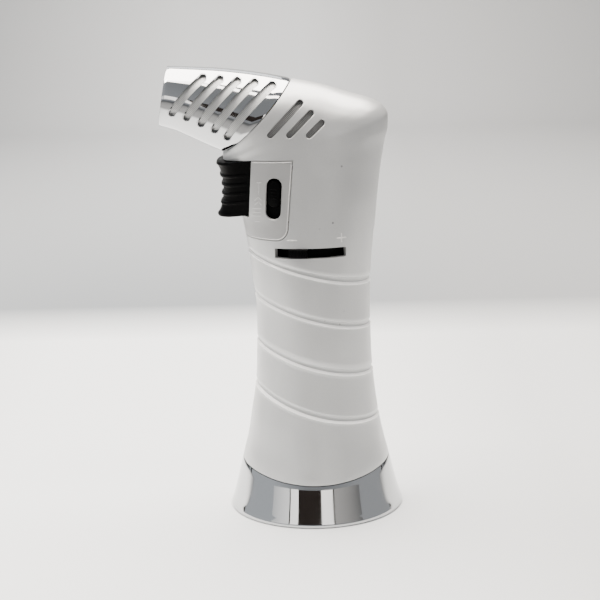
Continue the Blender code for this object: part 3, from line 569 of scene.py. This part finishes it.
def make_housing():
    sections = [grip_section(h) for h in (98.5, 101, 103, 105, 107.5, 110)] + between(HEAD[:9], 4)
    housing = band("trigger_panel", sections, 0.0, HOUSING_WALL, 128)
    opening = [(-50, trigger_edge_z(-50, "low") - 0.25), (-22.9, trigger_edge_z(-22.9, "low") - 0.25),
               (-21.1, 140.0), (-50, 140.0)]
    low, high = lock_point(-4.85), lock_point(4.85)
    slot = slot_cutter("lock_slot", BODY_TREE, low, high, 5.5, -1, 0.25, 2.0, 16)
    cut(housing, prism("opening", opening, -27, 27), slot)
    keep_inside(housing, prism("limit", panel_outline(0.0), -25, 25))
    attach(housing, "body")
    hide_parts("trigger_housing")
    return housing


def resampled(points, step):
    """A polyline with points no further apart than a step."""
    path = [points[0]]
    for (x0, z0), (x1, z1) in zip(points, points[1:]):
        parts = max(1, math.ceil(math.hypot(x1 - x0, z1 - z0) / step))
        path += straight((x0, z0), (x1, z1), parts)[1:]
    return path


def make_panel_rims():
    """Bead just inside the panel's edge, one on each side of the body, in a light paint that is a
    painted highlight along the edge.
    """
    outline = panel_outline(-0.42)[:-1]
    outline[0] = (-23.4, outline[0][1])
    beads = []
    for side in (-1, 1):
        beads.append(sweep("bead", laid(BODY_TREE, resampled(outline, 1.0), side, 0.04), 0.17))
    rims = gather("panel_rims", beads)
    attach(rims, "body")
    return rims


def make_lock_marks():
    """Raised pictogram beside the lock slot: a bar above, a chevron and short bars below."""
    strokes = [((-18.9, 123.0), (-18.7, 127.6)), ((-19.7, 127.6), (-17.9, 127.7)),
               ((-20.6, 120.9), (-19.1, 122.4)), ((-19.1, 122.4), (-17.9, 121.0)),
               ((-20.6, 119.2), (-19.1, 120.7)), ((-19.1, 120.7), (-18.0, 119.4)),
               ((-21.4, 117.9), (-18.1, 118.1)), ((-21.5, 116.5), (-18.2, 116.7)),
               ((-21.6, 115.1), (-18.3, 115.3)), ((-21.0, 112.9), (-18.6, 113.0))]
    marks = gather("lock_marks", raised(strokes, 6, 0.05, 0.22))
    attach(marks, "body")
    return marks


def make_shroud():
    sections = between(SHROUD, 6)
    outer = [inset_section(sections[0], 0.22), *sections[1:-1]]
    outer_rows = [section_points(s, full_turn(112)) for s in outer]
    mouth = sections[-1]
    for inset in (0.0, 0.12, 0.5, 1.1, 1.5):
        outer_rows.append(section_points(inset_section(mouth, inset), full_turn(112)))
    for step, row in zip((0.3, 0.08, 0.0, 0.08, 0.3), outer_rows[-5:]):
        for point in row:
            point.x += step
    walls = [inset_section(s, SHROUD_WALL) for s in reversed(sections[:-1])]
    inner = [section_points(s, full_turn(112)) for s in walls]
    shroud = loft("nozzle_head", outer_rows + inner, wrap=True)
    for side in (-1, 1):
        cut(shroud, *[slot_cutter("slot", SHROUD_TREE, a, b, 2.4, side, 0.25) for a, b in SHROUD_SLOTS])
    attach(shroud, "body")
    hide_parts("nozzle_shroud")
    beads = []
    for side in (-1, 1):
        for a, b in SHROUD_SLOTS:
            path = laid(SHROUD_TREE, capsule(a, b, 3.1, 10), side, 0.05)
            beads.append(sweep("bead", path, 0.15, closed=True))
    rims = gather("slot_rims", beads)
    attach(rims, "body")
    return shroud, rims


def make_screens():
    sections = between(SHROUD, 4)[:-2]
    screen = band("nozzle_mesh", sections, SHROUD_WALL + 0.3, SHROUD_WALL + 0.8, 96)
    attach(screen, "body")
    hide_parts("shroud_screen")
    vents = []
    outline = [(-17.5, 142.4), (7.8, 142.4), (7.8, 151.5), (-2.0, 159.5), (-6.5, 157.5), (-17.5, 146.6)]
    for name, side in (("left", -1), ("right", 1)):
        piece = band(f"{name}_vent_mesh", between(HEAD[3:], 4), SHELL_WALL + 0.3, SHELL_WALL + 0.8, 96)
        keep_inside(piece, prism("limit", outline, *sorted((side * 6.0, side * 24.0))))
        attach(piece, "body")
        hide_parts(f"vent_screen_{name}")
        vents.append(piece)
    return screen, vents


def make_base():
    top = 18.8
    profile = [(32.3, 0.0, 0.0), (32.75, 0.12, 0.0), (32.97, 0.45, 0.0), (33.0, 0.9, 0.0),
               (32.8, 1.6, 0.05)]
    for i in range(1, 12):
        t = i / 12
        profile.append((32.8 - 4.6 * t ** 0.88, 1.6 + (top - 1.6) * t, 4.1 * t ** 1.5))
    profile += [(28.2, top - 0.25, 4.1), (28.05, top, 4.1), (25.6, top, 4.1), (24.5, top + 4.0, 4.1),
                (23.1, top + 4.0, 4.1), (23.6, 14.0, 1.0), (29.0, 6.5, 0.0), (30.4, 4.6, 0.0),
                (30.4, 0.4, 0.0), (30.7, 0.0, 0.0)]
    rows = []
    for radius, height, sag in profile:
        rows.append([(radius * math.cos(a), radius * math.sin(a), height - sag * math.sin(a) ** 2)
                     for a in full_turn(144)])
    ring = loft("foot_ring", rows, wrap=True)
    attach(ring, "body")
    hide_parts("base_ring")
    return ring


# ------------------------------------ controls

RIB_SHARES = (0.254, 0.418, 0.582, 0.746)
RIB_WIDTH, RIB_HEIGHT, SIDE_RIB_HEIGHT = 0.029, 0.6, 0.18
TRIGGER_FRONT, TRIGGER_HOLLOW, TRIGGER_HEIGHT = -34.75, 2.35, 20.8
TRIGGER_POWER, EDGE_ROUNDING = 2 / 2.7, 0.7


def rib(share):
    """1 on a rib of the trigger and 0 between two."""
    return max(math.exp(-((share - centre) / RIB_WIDTH) ** 6) for centre in RIB_SHARES)


def trigger_front(share):
    """Front of the trigger in side view from its lower to its upper edge."""
    inner = min(max((share - 0.05) / 0.9, 0.0), 1.0)
    hollow = TRIGGER_HOLLOW * max(math.sin(math.pi * inner), 0.0) ** 0.6
    return TRIGGER_FRONT + hollow - RIB_HEIGHT * rib(share)


def make_trigger():
    narrow, wide = TRIGGER_HALF_WIDTHS
    shoulder, rear = -24.4, -17.5
    rows = []
    arc = [math.radians(-90 + 180 * i / 48) for i in range(49)]
    for share in [i / 150 for i in range(151)]:
        short = max(EDGE_ROUNDING - min(share, 1 - share) * TRIGGER_HEIGHT, 0.0)
        front = trigger_front(share) + EDGE_ROUNDING - math.sqrt(EDGE_ROUNDING ** 2 - short ** 2)
        half = narrow + (wide - narrow) * share
        ribbed = half - SIDE_RIB_HEIGHT * (1 - rib(share))
        row = []
        for angle in arc:
            reach = math.cos(angle) ** TRIGGER_POWER
            side = math.copysign(abs(math.sin(angle)) ** TRIGGER_POWER, angle)
            row.append((shoulder - (shoulder - front) * reach, ribbed * side))
        row += [(-23.2, half - 0.1), (-22.6, half), (rear, half), (rear, -half), (-22.6, -half),
                (-23.2, 0.1 - half)]
        rows.append([(x, y, trigger_edge_z(x, "low") * (1 - share) + trigger_edge_z(x, "high") * share)
                     for x, y in row])
    trigger = loft("finger_trigger", rows, smooth_angle=40)
    cavity = [(-29.0, 116.7), (-15, 117.9), (-15, 133.2), (-29, 132.0)]
    cut(trigger, prism("cavity", cavity, -8.8, 8.8), smooth_angle=40)
    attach(trigger, "trigger")
    push = Vector((math.cos(PRESS_TILT), 0, math.sin(PRESS_TILT)))
    seat = Vector((0, 0, 127.0)) - push * 19.0
    boss = [(0, 0.0), (2.9, 0.0), (3.2, 0.3), (3.2, 10.0), (0, 10.0)]
    arm = rounded([(-20.5, 104.4), (-15.0, 104.4), (-15.0, 117.6), (-20.5, 117.6)], 0.4)
    inner = [turned("boss", boss, 32, seat, -push), prism("arm", arm, -5.2, 5.2)]
    ramp = rounded([(-18.0, 104.8), (-4.8, 104.8), (-4.8, 105.9), (-12.9, 108.1), (-18.0, 108.1)], 0.25)
    for side in (-1, 1):
        inner.append(prism("finger", ramp, *sorted((side * 2.7, side * 4.9))))
    core = gather("trigger_core", inner)
    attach(core, "trigger")
    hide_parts("trigger")
    return trigger, core


def make_lock_slider():
    sections = between([grip_section(107.5)] + HEAD[:6], 4)
    plate = band("lock_plate", sections, HOUSING_WALL + 0.75, HOUSING_WALL + 1.5, 128)
    limit = [(-16.2, 113.6), (-9.9, 113.6), (-8.9, 134.2), (-15.6, 134.2)]
    keep_inside(plate, prism("limit", limit, -24, -8))
    low, high = lock_point(-0.7), lock_point(4.5)
    rows = []
    for grow, depth in ((-0.1, 2.3), (-0.1, 0.5), (-0.3, 0.1), (-0.7, -0.1)):
        rows.append(laid(BODY_TREE, capsule(low, high, 4.8 + 2 * grow, 12), -1, depth))
    button = loft("button", rows)
    ridges = []
    for k in range(4):
        x, z = lock_point(0.2 + 1.15 * k)
        ridges.append(((x - 1.4, z + 0.084), (x + 1.4, z - 0.084)))
    slider = gather("safety_slider", [plate, button, *raised(ridges, 6, -0.02, 0.24)])
    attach(slider, "lock")
    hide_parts("lock_slider")
    return slider


def around_valve(radius, angle, z):
    return Vector((VALVE_X + radius * math.sin(angle), -radius * math.cos(angle), z))


def sector(name, profile, half_angle, steps):
    """A profile of radius and height carried round the valve's axis."""
    rows = []
    for i in range(steps + 1):
        angle = LEVER_REST - half_angle + 2 * half_angle * i / steps
        rows.append([around_valve(radius, angle, z) for radius, z in profile])
    return loft(name, rows)


def make_flame_lever():
    eye = rounded([(7.0, 103.2), (7.0, 100.0), (4.3, 100.0), (4.3, 103.2)], 0.3)
    collar = turned("collar", eye, 64, (VALVE_X, 0, 0))
    arm = sector("arm", rounded([(6.0, 100.4), (18.3, 100.4), (18.3, 102.8), (6.0, 102.8)], 0.3),
                 math.radians(9), 8)
    shield = sector("shield", rounded([(17.8, 99.2), (18.6, 99.2), (18.6, 104.0), (17.8, 104.0)], 0.2),
                    math.radians(62), 84)
    knob = sector("knob", rounded([(18.2, 100.1), (22.3, 100.1), (22.3, 103.1), (18.2, 103.1)], 0.45),
                  math.radians(9.0), 24)
    ridges = []
    for k in range(5):
        angle = LEVER_REST + math.radians(-6 + 3 * k)
        path = [around_valve(22.3, angle, 100.5 + 2.2 * i / 6) for i in range(7)]
        ridges.append(sweep("ridge", path, 0.2))
    lever = gather("flame_lever_set", [collar, arm, shield, knob, *ridges])
    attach(lever, "flame_lever")
    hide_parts("flame_adjuster")
    return lever


# ------------------------------------ burner and underside

def on_burner(inward, side=0.0, lift=0.0):
    return Vector((MOUTH_X + inward * math.cos(BURNER_TILT) + lift * math.sin(BURNER_TILT), side,
                   MOUTH_Z - inward * math.sin(BURNER_TILT) + lift * math.cos(BURNER_TILT)))


def make_burner():
    inwards = on_burner(1) - on_burner(0)
    cup = [(4.1, 34.0), (4.1, 30.0), (4.6, 29.2), (7.2, 24.0), (7.2, 12.0), (7.35, 11.6), (7.35, 10.6),
           (7.2, 10.2), (7.2, 6.4), (7.1, 6.05), (6.9, 5.95), (6.6, 6.05), (6.4, 6.5), (6.4, 24.2),
           (3.3, 30.4), (3.3, 34.0)]
    tube = turned("burner_cup", cup, 64, on_burner(0), inwards)
    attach(tube, "body")
    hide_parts("burner_tube")
    face = [(0, 10.0), (6.1, 10.0), (6.1, 8.3), (5.8, 8.0), (1.0, 7.85), (0, 7.85)]
    disc = turned("flame_disc", face, 64, on_burner(0), inwards)
    holes = []
    for ring, count in ((1.9, 6), (3.9, 12), (5.2, 16)):
        for angle in full_turn(count):
            start = on_burner(6, ring * math.sin(angle), ring * math.cos(angle))
            holes.append(turned("hole", [(0, 0), (0.5, 0), (0.5, 6), (0, 6)], 14, start, inwards))
    holes.append(turned("hole", [(0, 0), (0.8, 0), (0.8, 6), (0, 6)], 16, on_burner(6), inwards))
    cut(disc, gather("holes", holes))
    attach(disc, "body")
    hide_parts("flame_holder")
    return tube, disc


def foot_screw(number, height):
    """Point on a foot screw's axis."""
    low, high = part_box(f"base_screw_{number}")
    return Vector(((low[0] + high[0]) / 2 / MM, (low[1] + high[1]) / 2 / MM, height))


def make_underside():
    pad_profile = [(0, 1.2), (29.8, 1.2), (29.8, 0.35), (29.5, 0.05), (29.2, 0.0)]
    for radius in range(27, 14, -2):
        pad_profile += [(radius + 0.35, 0.0), (radius + 0.2, 0.3), (radius - 0.2, 0.3),
                        (radius - 0.35, 0.0)]
    pad_profile += [(0, 0.0)]
    pad = turned("foot_rubber", pad_profile, 112)
    fill_x = sum(corner[0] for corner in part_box("fill_valve_body")) / 2 / MM
    port = [(0, -1), (5.0, -1), (5.0, 0.05), (4.8, 0.3), (4.8, 3), (0, 3)]
    cutters = [turned("fill", port, 40, (fill_x, 0, 0))]
    hole = [(0, -1), (3.2, -1), (3.2, 0.05), (3.0, 0.25), (3.0, 3), (0, 3)]
    for number in range(1, 4):
        cutters.append(turned("hole", hole, 28, foot_screw(number, 0)))
    cut(pad, *cutters)
    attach(pad, "body")
    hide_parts("foot_pad")
    return pad


def cross_recess(origin, heading, size, depth):
    """Two crossed wedges for a screw's drive."""
    heading = Vector(heading)
    turn = heading.to_track_quat("Z", "Y")
    origin = Vector(origin)
    arms = []
    for spin in (0, math.pi / 2):
        rows = []
        for height, reach, half in ((1.0, size, 0.42), (-depth, size * 0.45, 0.22)):
            corners = [(-reach, -half), (reach, -half), (reach, half), (-reach, half)]
            row = []
            for a, b in corners:
                row.append(origin + turn @ Vector((a * math.cos(spin) - b * math.sin(spin),
                                                   a * math.sin(spin) + b * math.cos(spin), height)))
            rows.append(row)
        arms.append(loft("drive", rows))
    return arms


def make_screws():
    screws, places = [], []
    for number, (x, z) in enumerate(SCREWS, 1):
        places.append((f"shell_screw_{number}", Vector((x, 6.6, z)), Vector((0, 1, 0)), 14.0))
    for number in range(1, 4):
        places.append((f"base_screw_{number}", foot_screw(number, 0.2), Vector((0, 0, -1)), 8.6))
    for node, head, outwards, length in places:
        profile = [(0, 0.0), (1.5, -0.03), (2.2, -0.2), (2.58, -0.55), (2.6, -1.0), (1.1, -1.6)]
        thread = 1.6
        while thread < length - 0.8:
            profile += [(1.1, -thread - 0.25), (0.85, -thread - 0.5)]
            thread += 0.5
        profile.append((0, -length))
        screw = turned(f"{node}_bright", profile, 32, head, outwards)
        cut(screw, *cross_recess(head, outwards, 1.5, 0.9))
        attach(screw, "body")
        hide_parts(node)
        screws.append(screw)
    return screws


# ------------------------------------ materials

class Nodes:
    """Adds nodes to a tree, fed by constants or by other nodes."""

    def __init__(self, tree, place):
        self.tree = tree
        self.place = tree.nodes.new("ShaderNodeTexCoord").outputs[place]

    def fill(self, socket, value):
        """Give a socket another node's output, a constant or a colour without alpha."""
        if isinstance(value, tuple):
            socket.default_value = (*value, 1.0)
        elif hasattr(value, "is_output"):
            self.tree.links.new(value, socket)
        else:
            socket.default_value = value

    def node(self, kind, **inputs):
        made = self.tree.nodes.new(kind)
        for key, value in inputs.items():
            self.fill(made.inputs[key.replace("_", " ")], value)
        return made

    def maths(self, operation, *values):
        made = self.tree.nodes.new("ShaderNodeMath")
        made.operation = operation
        for socket, value in zip(made.inputs, values):
            self.fill(socket, value)
        return made.outputs[0]

    def noise(self, scale, detail=3.0, rough=0.5):
        return self.node("ShaderNodeTexNoise", Vector=self.place, Scale=scale, Detail=detail,
                         Roughness=rough).outputs["Fac"]

    def spread(self, value, low, high, new_low, new_high):
        """Map a value's range to another one, clamped."""
        made = self.node("ShaderNodeMapRange", Value=value)
        for key, number in (("From Min", low), ("From Max", high), ("To Min", new_low),
                            ("To Max", new_high)):
            made.inputs[key].default_value = number
        return made.outputs["Result"]

    def mix(self, factor, first, second):
        made = self.tree.nodes.new("ShaderNodeMix")
        made.data_type = "RGBA"
        self.tree.links.new(factor, made.inputs["Factor"])
        self.fill(made.inputs[6], first)
        self.fill(made.inputs[7], second)
        return made.outputs[2]


class Shader(Nodes):
    """A Principled material."""

    def __init__(self, name, colour, roughness, metallic=0.0, **settings):
        self.material = bpy.data.materials.new(name)
        self.material.use_nodes = True
        super().__init__(self.material.node_tree, "Object")
        self.main = self.tree.nodes["Principled BSDF"]
        self.colour = colour
        settings.update(Base_Color=(*colour, 1.0), Roughness=roughness, Metallic=metallic)
        for key, value in settings.items():
            self.main.inputs[key.replace("_", " ")].default_value = value

    def shade(self, factor):
        """The material's own colour, darker or lighter."""
        return tuple(channel * factor for channel in self.colour)

    def to(self, name, value):
        self.tree.links.new(value, self.main.inputs[name])

    def bump(self, height, strength, distance):
        made = self.node("ShaderNodeBump", Height=height, Strength=strength, Distance=distance)
        if self.main.inputs["Normal"].is_linked:
            self.tree.links.new(self.main.inputs["Normal"].links[0].from_socket, made.inputs["Normal"])
        self.to("Normal", made.outputs["Normal"])


def silver_paint():
    made = Shader("silver_paint", (0.525, 0.53, 0.53), 0.36, 0.5, Coat_Weight=0.3, Coat_Roughness=0.25)
    flake = made.noise(5200, 1.0)
    cloud = made.noise(45, 3.0)
    tone = made.mix(made.spread(flake, 0.35, 0.65, 0, 1), made.shade(0.95), made.shade(1.05))
    tone = made.mix(made.spread(cloud, 0.4, 0.6, 0, 0.25), tone, made.shade(0.96))
    speck = made.node("ShaderNodeTexVoronoi", Vector=made.place, Scale=210.0).outputs["Distance"]
    rare = made.spread(made.noise(90, 0.0), 0.66, 0.70, 0, 1)
    mark = made.maths("MULTIPLY", made.spread(speck, 0.06, 0.10, 1, 0), rare)
    made.to("Base Color", made.mix(mark, tone, made.shade(0.45)))
    made.to("Roughness", made.spread(made.noise(160, 4.0), 0.3, 0.7, 0.33, 0.41))
    made.bump(flake, 0.10, 0.00003)
    return made.material


def panel_paint():
    made = Shader("panel_paint", (0.36, 0.36, 0.36), 0.4, 0.35)
    grain = made.noise(2600, 2.0)
    made.to("Base Color", made.mix(grain, made.shade(0.95), made.shade(1.05)))
    made.to("Roughness", made.spread(made.noise(300, 3.0), 0.3, 0.7, 0.36, 0.46))
    made.bump(grain, 0.15, 0.00004)
    return made.material


def chrome():
    made = Shader("chrome_plate", (0.50, 0.507, 0.515), 0.06, 1.0)
    haze = made.noise(60, 5.0, 0.6)
    made.to("Roughness", made.spread(haze, 0.35, 0.75, 0.035, 0.11))
    made.to("Base Color", made.mix(made.noise(900, 2.0), made.shade(0.97), made.shade(1.02)))
    made.bump(made.noise(38, 2.0), 0.04, 0.0005)
    return made.material


def black_plastic():
    made = Shader("black_plastic_grain", (0.001, 0.001, 0.0011), 0.45, 0.0, Specular_IOR_Level=0.03)
    grain = made.noise(1900, 3.0)
    made.to("Base Color", made.mix(made.noise(120, 3.0), made.shade(0.8), made.shade(1.5)))
    made.to("Roughness", made.spread(made.noise(400, 3.0), 0.3, 0.7, 0.36, 0.5))
    made.bump(grain, 0.3, 0.00005)
    return made.material


WEAVE = 3900.0


def wire_mesh(name, bright, dark, roughness):
    """Fine woven mesh: wires brighter than the holes between them."""
    made = Shader(name, bright, roughness, 0.65)
    split = made.node("ShaderNodeSeparateXYZ", Vector=made.place)
    waves = []
    for lean in (1, -1):
        across = made.maths("MULTIPLY_ADD", split.outputs[2], lean, split.outputs[0])
        waves.append(made.maths("SINE", made.maths("MULTIPLY", across, WEAVE * math.pi / math.sqrt(2))))
    wires = made.spread(made.maths("MAXIMUM", *waves), 0.0, 0.7, 0, 1)
    made.to("Base Color", made.mix(wires, dark, bright))
    made.bump(wires, 0.6, 0.00012)
    return made.material


def plain(name, colour, roughness, metallic=0.0, grain=1500, **settings):
    """A material with gentle grain, tone and roughness changes."""
    made = Shader(name, colour, roughness, metallic, **settings)
    made.to("Base Color", made.mix(made.noise(grain * 0.2, 3.0), made.shade(0.88), made.shade(1.1)))
    patches = made.noise(grain * 0.4, 3.0)
    made.to("Roughness", made.spread(patches, 0.3, 0.7, roughness * 0.85, roughness * 1.2))
    made.bump(made.noise(grain, 2.0), 0.15, 0.00004)
    return made.material


def paint(pieces, material):
    for piece in pieces:
        if len(piece.data.materials):
            piece.data.materials[0] = material
        else:
            piece.data.materials.append(material)


def paint_nodes(names, material):
    paint([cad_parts[name] for name in names], material)


# ------------------------------------ studio

WORLD_FRONT, WORLD_LEFT, WORLD_RIGHT = (0.38, 0.39, 0.40), (0.76, 0.79, 0.82), (0.56, 0.57, 0.58)
# Floor tones: white for the painted pool of light round the torch, greys for painted shade further off,
# on the wall, to the sides, on the right and along the near edge
FLOOR_WHITE, FLOOR_GREY, WALL_GREY = (0.735, 0.755, 0.77), (0.19, 0.205, 0.22), (0.56, 0.575, 0.59)
SIDE_GREY, RIGHT_GREY, NEAR_GREY = (0.26, 0.27, 0.28), (0.28, 0.28, 0.28), (0.21, 0.215, 0.22)
CARD_Y, CARD_HEIGHTS = -800, (190, 370)


def make_floor():
    """Table top that sweeps up into a backdrop, white round the torch and grey further off: the white
    is a painted pool of light, and the greys beyond it, up the wall, to the sides, on the right and
    along the near edge are painted shade.
    """
    near, fold, radius, top = -2600.0, 1150.0, 200.0, 700.0
    level = -0.02
    outline = [(near, level), (-300.0, level), (0.0, level), (fold, level)]
    for i in range(1, 25):
        angle = math.pi / 2 * i / 24
        outline.append((fold + radius * math.sin(angle), level + radius * (1 - math.cos(angle))))
    outline.append((fold + radius, top))
    bm = bmesh.new()
    rows = [[bm.verts.new((x, y, z)) for x in (-2400, 2400)] for y, z in outline]
    for low, high in zip(rows, rows[1:]):
        bm.faces.new((low[0], low[1], high[1], high[0]))
    floor = new_object("floor", bm)
    made = Shader("floor_paper_with_painted_light", (0.86, 0.86, 0.86), 0.65)
    split = made.node("ShaderNodeSeparateXYZ", Vector=made.place)
    # Painted light and shade on the floor: white near the torch, greys further off and up the wall, to
    # the sides, on the right and along the near edge
    far = made.spread(split.outputs[1], 0.35, 1.25, 0, 1)
    grey = made.mix(far, FLOOR_GREY, WALL_GREY)
    tone = made.mix(made.spread(split.outputs[1], 0.265, 0.345, 0, 1), FLOOR_WHITE, grey)
    aside = made.maths("ABSOLUTE", split.outputs[0])
    tone = made.mix(made.spread(aside, 0.13, 0.45, 0, 1), tone, SIDE_GREY)
    tone = made.mix(made.spread(split.outputs[0], 0.0, 0.10, 0, 0.42), tone, RIGHT_GREY)
    near_edge = made.spread(split.outputs[1], -0.21, -0.15, 1, 0)
    made.to("Base Color", made.mix(near_edge, tone, NEAR_GREY))
    made.bump(made.noise(700, 2.0), 0.05, 0.0001)
    paint([floor], made.material)


def card(name, place, width, heights, turn, colour, glow=0.0):
    """Upright card that the camera doesn't see, there to be mirrored in the chrome."""
    bm = bmesh.new()
    reach = Vector((math.cos(turn), math.sin(turn), 0)) * width * 0.5
    corners = []
    for side, height in ((-1, heights[0]), (1, heights[0]), (1, heights[1]), (-1, heights[1])):
        corners.append(bm.verts.new(Vector((*place, height)) + reach * side))
    bm.faces.new(corners)
    sheet = new_object(name, bm, 0)
    made = Shader(f"{name}_paper", colour, 0.8, 0.0, Specular_IOR_Level=0.1)
    if glow:
        made.main.inputs["Emission Color"].default_value = (1.0, 1.0, 1.0, 1.0)
        made.main.inputs["Emission Strength"].default_value = glow
    paint([sheet], made.material)
    sheet.visible_camera = False


def area_light(name, place, target, size, power, colour=(1, 1, 1)):
    light = bpy.data.lights.new(name, "AREA")
    light.shape = "RECTANGLE"
    light.size, light.size_y = size[0] * MM, size[1] * MM
    light.energy = power
    light.color = colour
    lamp = bpy.data.objects.new(name, light)
    bpy.context.scene.collection.objects.link(lamp)
    lamp.location = Vector(place) * MM
    lamp.rotation_euler = (Vector(target) - Vector(place)).to_track_quat("-Z", "Y").to_euler()


def make_studio():
    world = bpy.data.worlds.new("studio")
    bpy.context.scene.world = world
    world.use_nodes = True
    made = Nodes(world.node_tree, "Generated")
    across = made.node("ShaderNodeSeparateXYZ", Vector=made.place).outputs[0]
    sky = WORLD_FRONT
    for side, tone in ((-1, WORLD_LEFT), (1, WORLD_RIGHT)):
        sky = made.mix(made.spread(across, side * 0.2, side * 0.9, 0, 1), sky, tone)
    background = world.node_tree.nodes["Background"]
    background.inputs["Strength"].default_value = 1.0
    made.fill(background.inputs["Color"], sky)
    warm = (1.0, 0.93, 0.85)
    area_light("overhead", (-130, 280, 1000), (-20, 40, 100), (1300, 900), 63, warm)
    area_light("overhead_front", (0, -265, 1000), (0, 40, 100), (1300, 120), 6, warm)
    area_light("rear", (-450, 1000, 800), (0, 0, 120), (1300, 420), 4.0)
    black = (0.012, 0.009, 0.008)
    white = (0.9, 0.9, 0.9)
    grey, dim = (0.5, 0.51, 0.52), (0.3, 0.305, 0.31)
    for name, x, width, colour, glow in (
            ("left_glow", -1121, 958, grey, 0.75), ("left_edge", -622, 40, black, 0.0),
            ("left_strip", -497, 210, white, 0.6), ("dark_card", -157, 470, black, 0.0),
            ("right_strip", 196, 235, white, 0.7), ("right_edge", 330, 34, black, 0.0),
            ("right_glow", 923, 1150, dim, 0.0)):
        card(name, (x, CARD_Y), width, CARD_HEIGHTS, 0.0, colour, glow)
    for x in (-610, 610):
        turn = math.atan2(250, x) + math.pi / 2
        card("dark_strip", (x, 250), 40, (0, 420), turn, (0.01, 0.01, 0.01))


def make_camera():
    camera = bpy.data.cameras.new("camera")
    camera.lens = 103.56
    camera.sensor_width = 36.0
    camera.clip_start = 0.05
    eye = bpy.data.objects.new("camera", camera)
    bpy.context.scene.collection.objects.link(eye)
    eye.location = Vector((-4.84, -638.0, 224.4)) * MM
    pitch, roll = math.radians(12.78), math.radians(1.32)
    gaze = Matrix.Rotation(math.pi / 2 - pitch, 3, "X") @ Matrix.Rotation(-roll, 3, "Z")
    eye.rotation_euler = gaze.to_euler()
    bpy.context.scene.camera = eye


# ------------------------------------ build

make_camera()
make_floor()
make_studio()
# Body materials: silver paint, a near-white painted highlight for the groove lips, dark grey painted
# shade for the groove corners, and grey for the lever slot's bare wall
paints = [silver_paint(), plain("lip_highlight_paint", (0.97, 0.97, 0.965), 0.35, 0.0, 300, Coat_Weight=0.5),
          plain("groove_shade_paint", (0.20, 0.20, 0.20), 0.6), plain("bare_wall", (0.24, 0.24, 0.24), 0.5)]
body = make_body(paints)
signs = make_signs()
housing = make_housing()
marks = make_lock_marks()
rims = make_panel_rims()
shroud, slot_rims = make_shroud()
shroud_mesh, vent_meshes = make_screens()
ring = make_base()
trigger, trigger_core = make_trigger()
slider = make_lock_slider()
lever = make_flame_lever()
burner, disc = make_burner()
pad = make_underside()
screws = make_screws()

paint(body, paints[0])
# Light paint for the raised minus and plus, and for the panel rims, where it is a painted highlight
# along the panel's edge
paint([signs, rims], plain("raised_marks_and_rim_highlight", (0.72, 0.71, 0.70), 0.3, 0.1))
paint([marks], plain("faint_marks", (0.50, 0.50, 0.50), 0.35, 0.2))
paint([housing], panel_paint())
paint([shroud, slot_rims, ring], chrome())
paint([trigger, trigger_core, slider, lever], black_plastic())
paint([shroud_mesh], wire_mesh("bright_mesh", (0.58, 0.585, 0.585), (0.35, 0.355, 0.355), 0.42))
paint(vent_meshes, wire_mesh("grey_mesh", (0.35, 0.35, 0.35), (0.14, 0.14, 0.14), 0.5))
steel = plain("bright_steel", (0.55, 0.55, 0.56), 0.25, 1.0)
brass = plain("turned_brass", (0.70, 0.52, 0.24), 0.28, 1.0)
rubber = plain("black_rubber", (0.02, 0.02, 0.02), 0.75)
milky = plain("milky_plastic", (0.70, 0.73, 0.74), 0.3)
natural = plain("natural_nylon", (0.78, 0.75, 0.66), 0.5)
moulded = plain("dark_moulding", (0.02, 0.02, 0.022), 0.5)
paint([burner, disc, *screws], steel)
paint([pad], rubber)
paint_nodes(["rocker_lever", "rocker_pin", "trigger_spring", "valve_spring", "fill_valve_spring",
             "electrode"], steel)
paint_nodes(["fill_valve_body", "fill_valve_stem", "outlet_valve_body", "valve_stem", "gas_jet"], brass)
paint_nodes(["gas_hose", "tank_seal"], rubber)
paint_nodes(["fuel_tank", "tank_lid"], milky)
paint_nodes(["inner_frame", "piezo_plunger"], natural)
paint_nodes(["piezo_body", "base_plate"], moulded)
paint_nodes(["electrode_insulator"], plain("white_ceramic", (0.82, 0.81, 0.77), 0.25))
paint_nodes(["ignition_wire"], plain("red_jacket", (0.42, 0.04, 0.03), 0.45))
